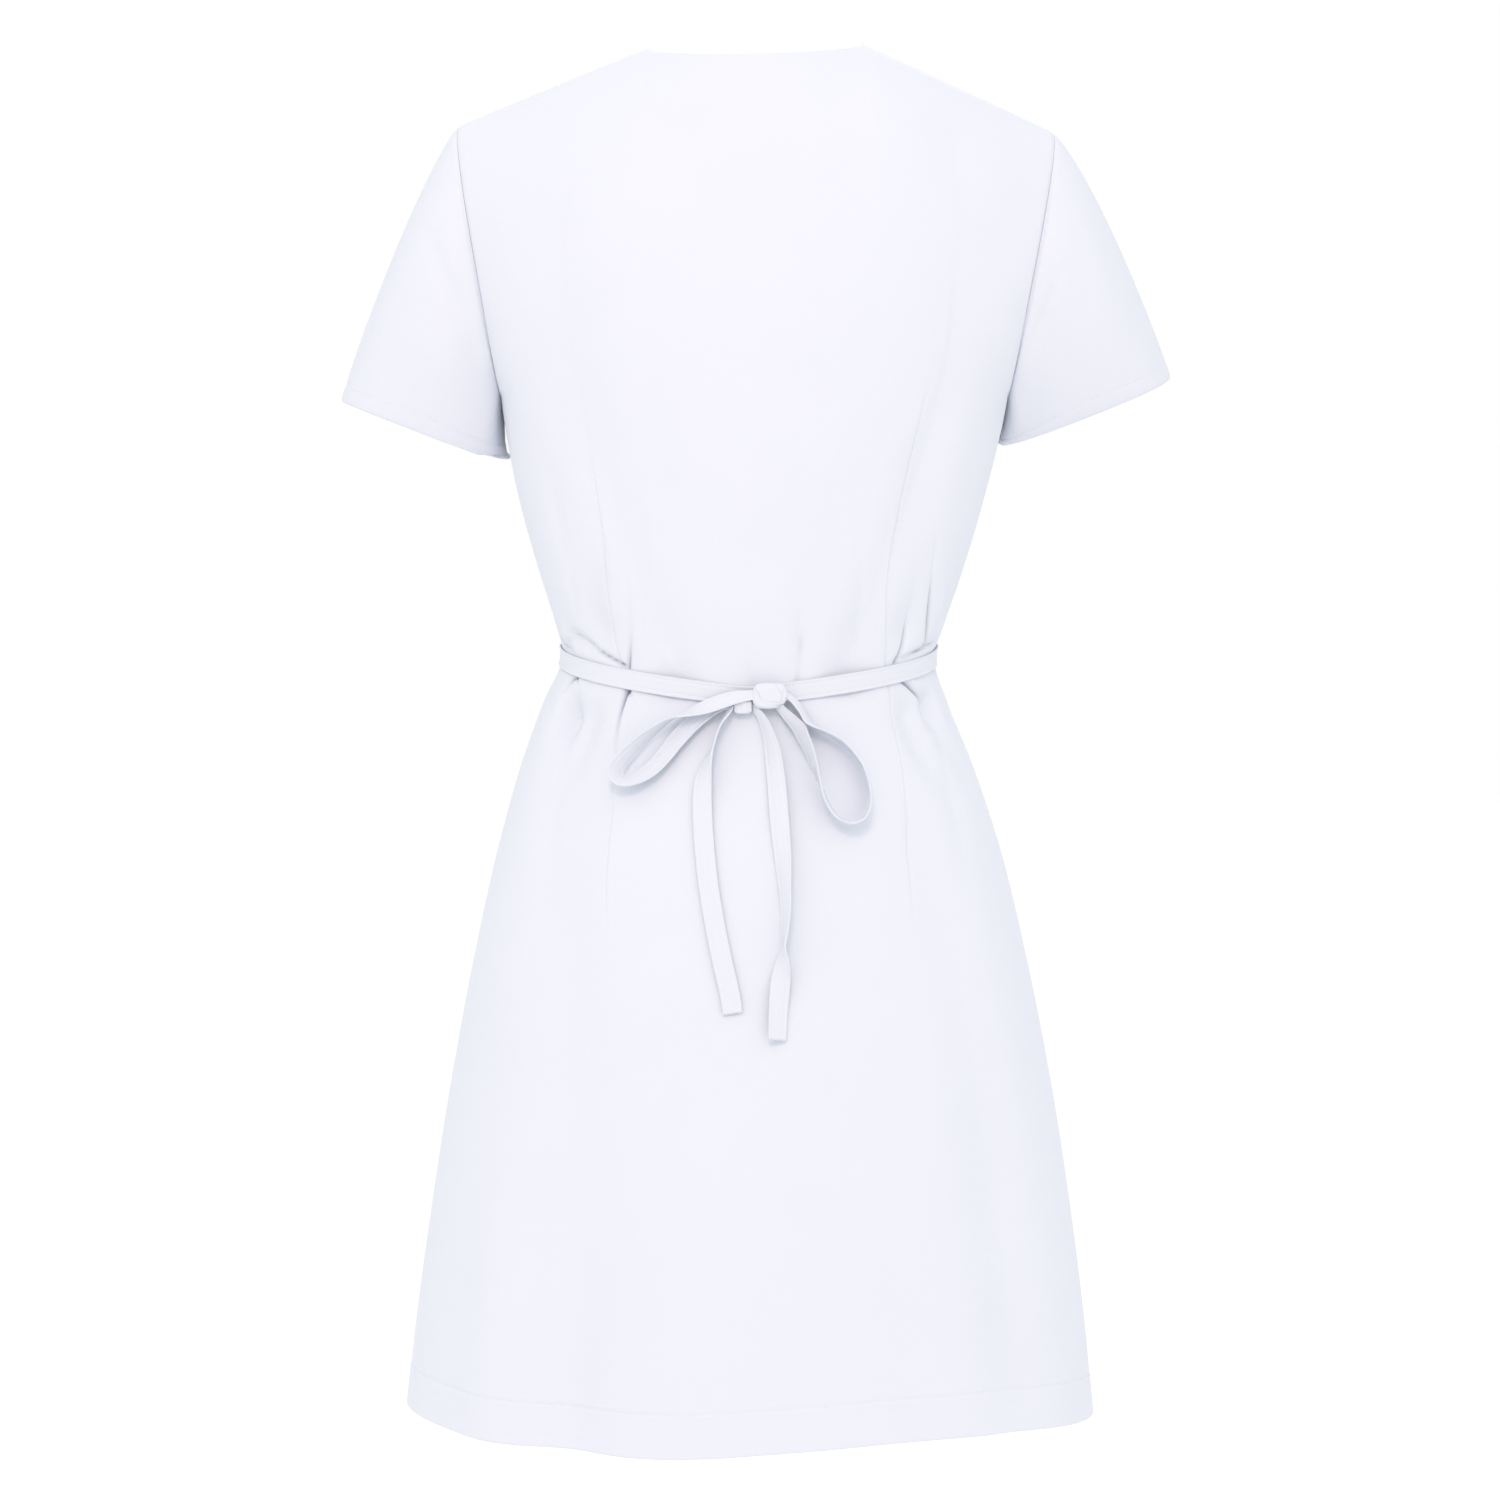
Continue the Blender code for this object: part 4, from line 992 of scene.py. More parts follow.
def cloth_material(name, brightness, relief):
    """White woven cloth with its own brightness and depth of weave."""
    material, tree, shader = new_material(name, CLOTH_LOOK)
    place = add_node(tree, "ShaderNodeUVMap", uv_map="cloth")
    values = {"Threads": THREADS_PER_METRE, "Slub": 0.35, "Tone": 0.03}
    cloth = add_node(tree, "ShaderNodeGroup", values, node_tree=weave)
    tint = add_node(tree, "ShaderNodeMix", data_type="RGBA", blend_type="MULTIPLY")
    tint.inputs["Factor"].default_value = 1.0
    tint.inputs["A"].default_value = [c * brightness for c in CLOTH_COLOUR[:3]] + [1.0]
    # painted shade: the crease mask mixes the cloth's colour towards a dark blue-grey
    painted_crease_shade = add_node(tree, "ShaderNodeAttribute", attribute_name="painted_crease_shade")
    painted_shade_mix = add_node(tree, "ShaderNodeMix", data_type="RGBA")
    painted_shade_mix.inputs["B"].default_value = PAINTED_SHADE_COLOUR
    bump = add_node(tree, "ShaderNodeBump", {"Strength": 0.35, "Distance": relief})
    join(
        tree,
        (place, "UV", cloth, "Cloth"),
        (cloth, "Tone", tint, "B"),
        (painted_crease_shade, "Fac", painted_shade_mix, "Factor"),
        (tint, "Result", painted_shade_mix, "A"),
        (painted_shade_mix, "Result", shader, "Base Color"),
        (cloth, "Height", bump, "Height"),
        (bump, "Normal", shader, "Normal"),
    )
    return material


cloths = {name: cloth_material(name, *values) for name, values in CLOTHS.items()}
print("materials:", ", ".join(cloths))


# %% Put a piece of cloth in place
def add_cloth(mesh, slot, *nodes):
    """Object for a mesh that takes the place of CAD nodes and rides with the dress."""
    mesh.materials.append(cloths[slot])
    piece = bpy.data.objects.new(mesh.name, mesh)
    scene.collection.objects.link(piece)
    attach(piece, "root")
    if nodes:
        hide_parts(*nodes)
    return piece


print("ready to add cloth")

# %% [markdown]
# ## Back and front
# Both panels are cut in one piece from the shoulder to the hem, with a pair of fisheye darts
# at the waist. The grid starts on the smooth surface and is moved along its normals by
# everything that happens on the cloth: folds, creases, darts, the roll into each seam, and
# the turned hem with its line of stitches and slight ripples.

# %% Work out the panels
RIPPLES = ((0.0171, 0.4), (0.0113, 1.9), (0.0291, 0.9))     # wavelengths and their phases
HEM_RIPPLE = (0.00022, 0.012)       # height of the ripples and how far they reach
CUFF_RIPPLE = (0.00020, 0.008)


def ripple(run):
    """Uneven small waves along a sewn line, from -1 to 1."""
    waves = [np.sin(2.0 * math.pi * run / length + phase) for length, phase in RIPPLES]
    return sum(waves) / len(waves)


def edge_round(distance, radius):
    """How far a fold's surface falls away towards its edge, as a share of the radius."""
    share = np.clip(1.0 - distance / radius, 0.0, 1.0)
    return 1.0 - np.sqrt(1.0 - share**2)


def round_edge(height, thick, distance, share=1.0):
    """Let a wall fall away and thin out towards its edge."""
    fall = edge_round(distance, thick) * share
    return height - EDGE_SINK * thick * fall, thick * (1.0 - EDGE_THIN * fall)


def hem_relief(run, from_edge, turn, wave, reach):
    """Raised cloth, ripples and sunk stitches of a turned hem, and where it is turned."""
    turned = smooth_step(turn + TURN_SOFTNESS, turn - TURN_SOFTNESS, from_edge)
    beside = from_edge - turn
    relief = wave * ripple(run) * bell(beside, reach) + HEM_RAISE * turned
    return relief - HEM_STITCH_DEPTH * bell(beside, HEM_STITCH_WIDTH), turned


def blur_weights(places, reach):
    """Weights that average values at uneven places over a reach."""
    weight = bell(places[:, None] - places, reach) * np.gradient(places)
    return weight / weight.sum(1, keepdims=True)


def soften_joins(points, across, from_seam):
    """Blend the rows near the underarm and the columns below the neck points."""
    blurred = np.einsum("ij,jkc->ikc", blur_weights(levels, UNDERARM_BLUR), points)
    near = bell(levels - UNDERARM_LEVEL, UNDERARM_REACH, 4)[:, None]
    share = near * smooth_step(0.010, 0.045, from_seam)
    points = points + share[..., None] * (blurred - points)
    for row in np.flatnonzero(levels > UNDERARM_LEVEL):
        blurred = blur_weights(across[row], NECK_POINT_BLUR) @ points[row]
        near = bell(np.abs(across[row]) - NECK_ACROSS, NECK_POINT_REACH, 4)
        near = near * smooth_step(0.0, 0.03, -levels[row])
        share = near * smooth_step(0.0, 0.03, levels[row] - UNDERARM_LEVEL)
        points[row] += share[:, None] * (blurred - points[row])
    return points


def panel_surface(side):
    """What a panel's grid is made of: places, heights, thickness, normals, painted crease shade."""
    across = np.array([panel_columns(side, level) for level in levels])
    level = np.broadcast_to(levels[:, None], across.shape)
    smooth = smooth_point(side, across, level)
    run = along(smooth, 1)
    from_seam = np.minimum(run, run[:, -1:] - run)
    smooth = soften_joins(smooth, across, from_seam)
    rise = along(smooth, 0)
    from_hem, from_top = rise, rise[-1] - rise
    creases, painted_crease_shade = crease_height(side, smooth)
    height = fold_height(side, across, level) + creases
    height = height + dart_height(side, across, level, smooth)
    from_neck = np.abs(across) - NECK_ACROSS
    neck = 1.0 - smooth_step(-0.05, 0.05, from_neck)
    by_shoulder = smooth_step(-0.13, -0.02, from_neck) * bell(from_top, SEAM_ROLL)
    by_seam = bell(from_seam, SEAM_ROLL)
    height -= SEAM_SINK * (by_seam + by_shoulder)
    smooth[..., 1] -= facing(side) * SEAM_CLOSE * np.maximum(by_seam, by_shoulder) ** 4
    relief, turned = hem_relief(run, from_hem, HEM_TURN, *HEM_RIPPLE)
    height += relief
    faced = neck * smooth_step(NECK_TURN + TURN_SOFTNESS, NECK_TURN - TURN_SOFTNESS, from_top)
    thick = SHELL + HEM_LAYERS * turned + NECK_LAYERS * faced
    for distance, here in ((from_hem, 1.0), (from_top, neck)):
        height, thick = round_edge(height, thick, distance, here)
    normals = grid_normals(smooth, -facing(side), False)
    return across, smooth, height, thick, normals, from_hem, painted_crease_shade


panels = {side: panel_surface(side) for side in ("back", "front")}
smooth_normals = {side: panels[side][4] for side in panels}
join_panels(smooth_normals, panels["back"][0][-1])
outer = {side: p[1] + smooth_normals[side] * p[2][..., None] for side, p in panels.items()}
outer_normals = {side: grid_normals(outer[side], -facing(side), False) for side in outer}
join_panels(outer_normals, panels["back"][0][-1])
print("each panel has", outer["back"].shape[0] * outer["back"].shape[1], "points on its face")

# %% [markdown]
# ## Sleeves
# A short set-in sleeve is a tube cut on a slant. It starts on the armhole's own points, so
# the two always meet, leaves the seam in the direction the arm gives it, and ends in a round
# cuff with a turned hem. Rings of points along smooth curves between both ends do this well.

# %% Sizes of the sleeves
SLEEVES = {
    "left": {
        "hand": 1,
        "centre": np.array((0.2192, -0.020, -0.2536)),
        "outward": np.array((0.0543, 0.008, 0.0225)),
        "backward": np.array((0.0, 0.0446, -0.0063)),
        "top_leaving": np.array((0.58, 0.00, -0.81)),
    },
    "right": {
        "hand": -1,
        "centre": np.array((-0.2264, -0.040, -0.2368)),
        "outward": np.array((-0.0585, 0.008, 0.0240)),
        "backward": np.array((0.0, 0.0437, -0.0108)),
        "top_leaving": np.array((0.66, 0.00, -0.75)),
    },
}
SLEEVE_LEAVING = {
    "back": np.array((0.85, 0.25, -0.45)),
    "front": np.array((0.85, -0.30, -0.45)),
    "underarm": np.array((0.14, -0.33, -0.93)),
}
SLEEVE_ARRIVING = 0.80
CUFF_ROUNDNESS = 0.86       # 1 is an ellipse, less is flatter on its sides
SLEEVE_STEPS = 84
SLEEVE_HEM = 0.018
SLEEVE_GIRTH = 0.055        # metres to a radian round the sleeve, for its folds
SLEEVE_LENGTH = 0.16
DIP_FADE = 0.004            # length over which the shoulder seam's dip fades in the sleeve
TOP_BLUR = 0.004            # the loop is blurred over this length, near the top of the armhole
TOP_REACH = 0.012
RING_CLOSENESS = 0.93       # 0 spaces the rings evenly, towards 1 they crowd at both ends
# Soft folds of the sleeves: hand, turn round the sleeve in degrees (0 on top, 90 at the back,
# 180 underarm) and share of the length, at start and end; width and height in millimetres
SLEEVE_FOLDS = table(
    "hand turn_start share_start turn_end share_end width height",
    """
    1 50 0.20 140 0.17 9.0 -2.6
    1 60 0.46 128 0.42 11.0 1.3
    1 160 0.10 140 0.80 9.0 2.0
    1 128 0.04 92 0.55 7.0 1.4
    1 60 0.04 66 0.60 9.0 -1.2
    1 -150 0.02 -118 0.70 6.0 -2.0
    1 -60 0.05 -72 0.65 9.0 -1.1
    -1 80 0.16 138 0.13 8.0 -1.6
    -1 128 0.02 102 0.34 4.0 -1.6
    -1 112 0.02 84 0.40 5.0 -1.4
    -1 160 0.10 142 0.80 9.0 1.6
    -1 118 0.02 96 0.62 6.0 -1.5
    -1 50 0.05 58 0.60 9.0 1.0
    -1 -148 0.02 -112 0.72 6.0 -2.1
    -1 -64 0.04 -70 0.66 9.0 -1.2
    """,
)
print("two sleeves with", len(SLEEVE_FOLDS), "folds")


# %% Work out a sleeve
def armhole_loop(values, column):
    """Read values round an armhole: up the back from the underarm, then down the front."""
    back = values["back"][underarm_row:, column]
    front = values["front"][underarm_row:, column]
    loop = np.concatenate([back, front[-2:0:-1]])
    loop[0] = (back[0] + front[0]) / 2.0
    loop[len(back) - 1] = (back[-1] + front[-1]) / 2.0
    return loop


def even_loop(loop, column):
    """The armhole without the dip of the shoulder seam, for the sleeve has no seam there."""
    run = along(np.concatenate([loop, loop[:1]]))[:-1]
    run = run - run[len(loop) // 2]
    dip = SEAM_SINK * bell(run, SEAM_ROLL)
    even = loop + armhole_loop(smooth_normals, column) * dip[:, None]
    share = bell(run, TOP_REACH, 4)[:, None]
    return even + share * (blur_weights(run, TOP_BLUR) @ even - even)


def ring_turns(loop):
    """Turn of each armhole point round the sleeve: half a turn underarm, 0 at the top."""
    steps = len(loop) // 2
    run = along(np.concatenate([loop, loop[:1]]))
    back_share = run[: steps + 1] / run[steps]
    front_share = (run[steps:-1] - run[steps]) / (run[-1] - run[steps])
    return np.concatenate([math.pi * (1.0 - back_share), -math.pi * front_share[1:]])


def sleeve_rings(sleeve, loop, shares):
    """Rings of points from the armhole to the cuff."""
    turns = ring_turns(loop)[:, None]
    wide, deep = (np.sign(f(turns)) * np.abs(f(turns)) ** CUFF_ROUNDNESS for f in (np.cos, np.sin))
    cuff = sleeve["centre"] + sleeve["outward"] * wide + sleeve["backward"] * deep
    axis = unit(np.cross(sleeve["outward"], sleeve["backward"])) * sleeve["hand"]
    rise = np.clip(np.cos(turns), 0.0, 1.0) ** 2
    sink = np.clip(-np.cos(turns), 0.0, 1.0) ** 2
    aside = np.where(np.sin(turns) > 0.0, SLEEVE_LEAVING["back"], SLEEVE_LEAVING["front"])
    leaving = rise * sleeve["top_leaving"] + sink * SLEEVE_LEAVING["underarm"]
    leaving = unit(leaving + (1.0 - rise - sink) * aside) * np.array([sleeve["hand"], 1.0, 1.0])
    length = np.linalg.norm(cuff - loop, axis=1)[:, None]
    arriving = axis * length * SLEEVE_ARRIVING
    return np.array(
        [hermite(loop, leaving * length, cuff, arriving, np.full(len(loop), s)) for s in shares]
    )


def sleeve_shares():
    """Shares of the sleeve's length for its rings, close together at both ends."""
    even = np.linspace(0.0, 1.0, SLEEVE_STEPS + 1)
    return even - RING_CLOSENESS * np.sin(2.0 * math.pi * even) / (2.0 * math.pi)


def sleeve_fold_height(hand, turns, shares, girth, length):
    """How far the soft folds raise or sink the sleeve."""
    total = np.zeros((len(shares), len(turns)))
    for fold in SLEEVE_FOLDS[SLEEVE_FOLDS["hand"] == hand]:
        first = np.array([math.radians(fold["turn_start"]) * girth, fold["share_start"] * length])
        last = np.array([math.radians(fold["turn_end"]) * girth, fold["share_end"] * length])
        grid = np.stack(np.meshgrid(turns * girth, shares * length), axis=-1)
        span = last - first
        place = np.clip((grid - first) @ span / (span @ span), 0.0, 1.0)
        far = np.linalg.norm(grid - first - place[..., None] * span, axis=-1)
        swell = np.sin(math.pi * (0.12 + 0.88 * place)) ** 1.3
        width = 0.001 * fold["width"] * (0.5 + place)
        total += 0.001 * fold["height"] * swell * bell(far, width)
    return total


def sleeve_surface(sleeve):
    """Outer points, normals and thickness of a sleeve; turns the armhole normals to match."""
    hand = sleeve["hand"]
    column = -1 if hand > 0 else 0
    loop = armhole_loop(outer, column)
    even = even_loop(loop, column)
    shares = sleeve_shares()
    rough = grid_normals(sleeve_rings(sleeve, even, shares), hand, True)[0]
    joint = unit(armhole_loop(outer_normals, column) + rough)
    lean = unit(armhole_loop(smooth_normals, column) + rough)
    top = len(loop) // 2
    for corner in (0, top):
        joint[corner] = level_with_seam(joint[corner])
        lean[corner] = level_with_seam(lean[corner])
    tangent = np.roll(even, -1, axis=0) - np.roll(even, 1, axis=0)
    toward = unit(np.cross(tangent, lean))
    toward = toward * np.sign(toward[:, :1]) * hand
    rings = sleeve_rings(sleeve, even + toward * SEAM_GAP, shares)
    run = along(rings, 0)
    rings = rings + (loop - even) * bell(run, DIP_FADE)[..., None]
    from_cuff = run[-1] - run
    round_run = along(np.concatenate([rings, rings[:, :1]], axis=1), 1)[:, :-1]
    relief, turned = hem_relief(round_run, from_cuff, SLEEVE_HEM, *CUFF_RIPPLE)
    height = SEAM_SINK * (1.0 - bell(run, SEAM_ROLL)) + relief
    height += sleeve_fold_height(hand, ring_turns(loop), shares, SLEEVE_GIRTH, SLEEVE_LENGTH)
    height, thick = round_edge(height, SHELL + HEM_LAYERS * turned, from_cuff)
    points = rings + grid_normals(rings, hand, True) * height[..., None]
    normals = grid_normals(points, hand, True)
    normals[0] = joint
    outer_normals["back"][underarm_row:, column] = joint[: top + 1]
    outer_normals["front"][underarm_row, column] = joint[0]
    outer_normals["front"][underarm_row + 1 :, column] = joint[top:][::-1]
    return points, normals, thick, from_cuff


sleeves = {name: sleeve_surface(sleeve) for name, sleeve in SLEEVES.items()}
print("a sleeve has", sleeves["left"][0].shape[0] * sleeves["left"][0].shape[1], "points")

# %% [markdown]
# The sleeves came first in the working out, because they also settle which way the panels
# face along the armholes. Now all four become walls of cloth. The size of the cloth that each
# was cut from is measured on its own grid.

# %% Add the panels and the sleeves
def sheet_size(points, closed):
    """Widest row and longest column of a grid, which bound the cloth it was cut from."""
    length = float(along(points, 0)[-1].max())
    if closed:
        points = np.concatenate([points, points[:, :1]], axis=1)
    else:
        points = points[: underarm_row + 1]     # the rows above bend down along the neckline
    return float(along(points, 1)[:, -1].max()), length


dress_pieces = {}
for side in ("back", "front"):
    inner = outer[side] - outer_normals[side] * panels[side][3][..., None]
    mesh = wall_mesh(side + "_cloth_panel", outer[side], inner, False)
    # the painted crease shade lies on the outer face only
    painted_crease_shade = np.concatenate([panels[side][6].ravel(), np.zeros(panels[side][6].size)])
    mesh.attributes.new("painted_crease_shade", "FLOAT", "POINT").data.foreach_set("value", painted_crease_shade)
    piece = add_cloth(mesh, side + "_cloth", side + "_panel")
    dress_pieces[side] = piece
    print(side, "panel:", len(mesh.polygons), "faces, cut", sheet_size(outer[side], False))
for name, (points, normals, thick, _) in sleeves.items():
    mesh = wall_mesh("sleeve_cloth_" + name, points, points - normals * thick[..., None], True)
    piece = add_cloth(mesh, "sleeve_cloth", "sleeve_" + name)
    dress_pieces["sleeve_" + name] = piece
    print("sleeve", name + ":", len(mesh.polygons), "faces, cut", sheet_size(points, True))

# %% [markdown]
# ## The tie
# The tie is a narrow strap, folded in half lengthwise with its edges turned in, and stitched
# close to both edges. The stitching presses a fine groove and leaves a small rounded rim
# outside it, which catches the light. One cross-section with those rims is swept along each
# strap, so every stretch of the tie has the same make.

# %% Cross-section of the tie
TIE_WIDTH = 0.013
TIE_WALL = 0.0014
TIE_CLEARANCE = 0.0004
TIE_FRONT_END = 0.56
TIE_MIDDLE = -0.062
TIE_MIDDLE_GAP = 0.002
TIE_STITCH_INSET = 0.0024
TIE_STITCH_DEPTH = 0.00030
TIE_STITCH_WIDTH = 0.0007


def tie_profile():
    """Ring of (across, height) round the strap, both as shares of its half width and wall."""
    half = TIE_WIDTH / 2.0
    inset = 1.0 - TIE_STITCH_INSET / half
    rim = 0.5 * TIE_WALL / half
    flat = [0.0, 0.28, inset - 0.17, inset - 0.08, inset, inset + 0.08, 0.86, 1.0 - 0.6 * rim]
    places = np.array([-1.0] + [-p for p in flat[:0:-1]] + flat + [1.0])
    distance = (1.0 - np.abs(places)) * half
    height = np.sqrt(np.clip(1.0 - (1.0 - np.clip(distance / (TIE_WALL / 2.0), 0, 1)) ** 2, 0, 1))
    groove = bell(distance - TIE_STITCH_INSET, TIE_STITCH_WIDTH)
    height = 0.92 * height - groove * TIE_STITCH_DEPTH / (TIE_WALL / 2.0)
    height += 0.08 * bell(distance - 0.0012, 0.0010)
    top = np.stack([places, height], axis=1)
    bottom = np.stack([places[::-1], -height[::-1]], axis=1)
    return np.concatenate([top[:-1], bottom[:-1]])


profile = tie_profile()
sewn_at = 1 - 2 * TIE_STITCH_INSET / TIE_WIDTH
half_profile = profile[: len(profile) // 2, 0]
stitch_lines = [int(np.argmin(np.abs(half_profile - side * sewn_at))) for side in (-1, 1)]
print(len(profile), "points round the strap, stitched at", stitch_lines)

# %% [markdown]
# From the front darts the two straps run round the side seams to the knot, pressed on the
# cloth. They are made from the panels' own places, moved out.


# %% Straps round the waist
def strap_rings(hand):
    """Rings of one strap: on the back from the knot to the side, then on the front."""
    start = TIE_MIDDLE * hand + TIE_MIDDLE_GAP
    runs = {"back": np.linspace(start, 1.0, 150), "front": np.linspace(1.0, TIE_FRONT_END, 60)}
    parts = []
    for side, across in runs.items():
        places = (across * hand)[:, None]
        level = TIE_LEVEL + profile[:, 0] * TIE_WIDTH / 2.0
        lift = TIE_CLEARANCE + TIE_WALL / 2.0 * (1.0 + profile[:, 1])
        outward = cloth_outward(side, places, np.full_like(places, TIE_LEVEL))
        where = cloth_point(side, *np.broadcast_arrays(places, level))
        parts.append(where + outward * lift[None, :, None])
    seam = (parts[0][-1:] + parts[1][:1]) / 2.0
    return np.concatenate([parts[0][:-1], seam, parts[1][1:]])


tie_rings = {}
for name, sleeve in SLEEVES.items():
    rings = strap_rings(sleeve["hand"])
    tie_rings["tie_strap_" + name] = rings
    mesh = tube_mesh("tie_cloth_" + name, rings)
    dress_pieces["tie_strap_" + name] = add_cloth(mesh, "tie_cloth", "tie_strap_" + name)
    print("strap", name, "is", round(float(along(rings[:, 0])[-1]), 3), "m long")

# %% [markdown]
# ## The bow
# The loops and tails hang freely in front of the back: they turn, stand on edge and lie flat
# again. Each follows a short table of places on the back, with the height off the cloth, the
# turn of the strap and its share of the full width, narrow where the knot squeezes it.

# %% Tables of the bow
RIBBON_COLUMNS = "x z off turn width"
RIBBONS = {
    "bow_loop_left": table(
        RIBBON_COLUMNS,
        """
    -0.0060 -0.4428 0.0074 14 0.50
    0.0004 -0.4433 0.0078 20 0.55
    0.0096 -0.4449 0.0084 25 0.75
    0.0190 -0.4484 0.0090 30 0.9
    0.0290 -0.4526 0.0092 40 1.0
    0.0385 -0.4563 0.0092 58 1.0
    0.0507 -0.4613 0.0092 83 1.0
    0.0634 -0.4714 0.0094 100 1.0
    0.0732 -0.4814 0.0096 108 1.0
    0.0802 -0.4894 0.0098 114 1.0
    0.0834 -0.4952 0.0098 120 1.0
    0.0822 -0.5000 0.0092 130 1.0
    0.0768 -0.5010 0.0080 144 1.0
    0.0680 -0.4972 0.0066 156 1.0
    0.0606 -0.4912 0.0058 164 1.0
    0.0541 -0.4833 0.0052 168 1.0
    0.0471 -0.4738 0.0048 168 1.0
    0.0403 -0.4656 0.0045 168 1.0
    0.0329 -0.4582 0.0044 166 1.0
    0.0263 -0.4534 0.0044 164 0.9
    0.0195 -0.4500 0.0044 162 0.75
    0.0105 -0.4468 0.0044 162 0.62
        """,
    ),
    "bow_loop_right": table(
        RIBBON_COLUMNS,
        """
    -0.0190 -0.4415 0.0064 134 0.5
    -0.0249 -0.4447 0.0064 130 0.5
    -0.0304 -0.4508 0.0068 120 0.75
    -0.0372 -0.4596 0.0076 106 0.95
    -0.0437 -0.4665 0.0078 100 1.0
    -0.0514 -0.4716 0.0078 102 1.0
    -0.0591 -0.4774 0.0078 106 1.0
    -0.0661 -0.4851 0.0078 111 1.0
    -0.0713 -0.4928 0.0076 115 1.0
    -0.0745 -0.5012 0.0076 117 1.0
    -0.0757 -0.5108 0.0078 112 1.0
    -0.0738 -0.5200 0.0082 98 1.0
    -0.0694 -0.5262 0.0084 82 1.0
    -0.0624 -0.5280 0.0084 70 1.0
    -0.0545 -0.5243 0.0082 64 1.0
    -0.0488 -0.5162 0.0080 64 1.0
    -0.0454 -0.5072 0.0080 70 1.0
    -0.0424 -0.4978 0.0082 84 1.0
    -0.0390 -0.4880 0.0084 100 1.0
    -0.0349 -0.4768 0.0082 112 1.0
    -0.0299 -0.4668 0.0078 122 0.9
    -0.0250 -0.4594 0.0070 132 0.7
    -0.0207 -0.4540 0.0062 140 0.5
    -0.0168 -0.4485 0.0058 142 0.45
        """,
    ),
    "bow_tail_left": table(
        RIBBON_COLUMNS,
        """
    0.0095 -0.4455 0.0046 24 0.45
    0.0128 -0.4493 0.0048 30 0.5
    0.0140 -0.4535 0.0054 50 0.65
    0.0165 -0.4588 0.0062 68 0.8
    0.0198 -0.4662 0.0070 80 0.95
    0.0233 -0.4774 0.0072 78 1.0
    0.0278 -0.4903 0.0058 50 1.0
    0.0303 -0.5045 0.0036 15 1.0
    0.0302 -0.5237 0.0024 0 1.0
    0.0289 -0.5429 0.0020 0 1.0
    0.0262 -0.5670 0.0020 0 1.0
    0.0217 -0.5935 0.0020 0 1.0
    0.0172 -0.6149 0.0020 0 1.0
    0.0127 -0.6345 0.0020 0 1.0
    0.0108 -0.6465 0.0020 0 1.0
        """,
    ),
    "bow_tail_right": table(
        RIBBON_COLUMNS,
        """
    -0.0035 -0.4490 0.0046 36 0.35
    -0.0045 -0.4538 0.0046 40 0.4
    -0.0074 -0.4585 0.0050 48 0.55
    -0.0110 -0.4675 0.0054 48 0.75
    -0.0142 -0.4819 0.0054 42 1.0
    -0.0168 -0.5013 0.0044 26 1.0
    -0.0186 -0.5237 0.0042 22 1.0
    -0.0205 -0.5453 0.0046 35 1.0
    -0.0217 -0.5649 0.0058 55 1.0
    -0.0223 -0.5819 0.0068 66 1.0
    -0.0216 -0.5964 0.0072 76 1.0
    -0.0210 -0.6058 0.0072 85 1.0
    -0.0203 -0.6153 0.0064 50 1.0
    -0.0191 -0.6280 0.0044 10 1.0
    -0.0178 -0.6445 0.0036 -15 1.0
    -0.0171 -0.6635 0.0042 -25 1.0
        """,
    ),
}
RIBBON_STEPS = 9


# %% Loops and tails
def ribbon_rings(rows):
    """Rings of a strap that runs freely over the back along a table of places."""
    knots = np.arange(len(rows), dtype=float)
    places = np.linspace(0.0, len(rows) - 1.0, (len(rows) - 1) * RIBBON_STEPS + 1)
    x, z, off, turn, width = (through(knots, rows[key], places) for key in rows.dtype.names)
    across, level = back_place(x, z)
    outward = cloth_outward("back", across, level)
    middle = cloth_point("back", across, level) + outward * off[:, None]
    ahead = unit(np.gradient(middle, axis=0))
    beside = unit(np.cross(outward, ahead))
    angle = np.radians(turn)[:, None]
    wide = beside * np.cos(angle) + outward * np.sin(angle)
    wide = unit(wide - ahead * np.sum(wide * ahead, axis=1, keepdims=True))
    thick = np.cross(ahead, wide) * TIE_WALL / 2.0
    wide = wide * (width * TIE_WIDTH / 2.0)[:, None]
    return (
        middle[:, None]
        + wide[:, None] * profile[None, :, :1]
        + thick[:, None] * profile[None, :, 1:]
    )


for name, rows in RIBBONS.items():
    rings = ribbon_rings(rows)
    tie_rings[name] = rings
    mesh = tube_mesh(name.replace("bow_", "bow_cloth_"), rings)
    dress_pieces[name] = add_cloth(mesh, "bow_cloth", name)
    print(name, "is", round(float(along(rings.mean(axis=1))[-1]), 3), "m long")

# %% [markdown]
# The knot is the strap pulled tightly over itself: a smooth, rounded lump with a few soft
# folds that run the way the strap was pulled, and below it the small wrap that holds the
# tails. Both start as a round ball, are drawn out towards a block, and take the folds in.

# %% Knot and wrap
KNOTS = table(
    "name x z off half_x half_off half_z",
    """
    bow_knot -0.0123 -0.4437 0.0072 0.0113 0.0050 0.0085
    bow_wrap 0.0046 -0.4512 0.0052 0.0058 0.0027 0.0045
    """,
    words=1,
)
KNOT_SQUARENESS = {"bow_knot": 0.62, "bow_wrap": 0.42}      # 1 is a ball, 0 a block
KNOT_SEGMENTS = 96
KNOT_RINGS = 56
KNOT_FOLD_FALL = 1.5
KNOT_SLANT = 0.34           # how much the knot's lower edge rises towards its right end
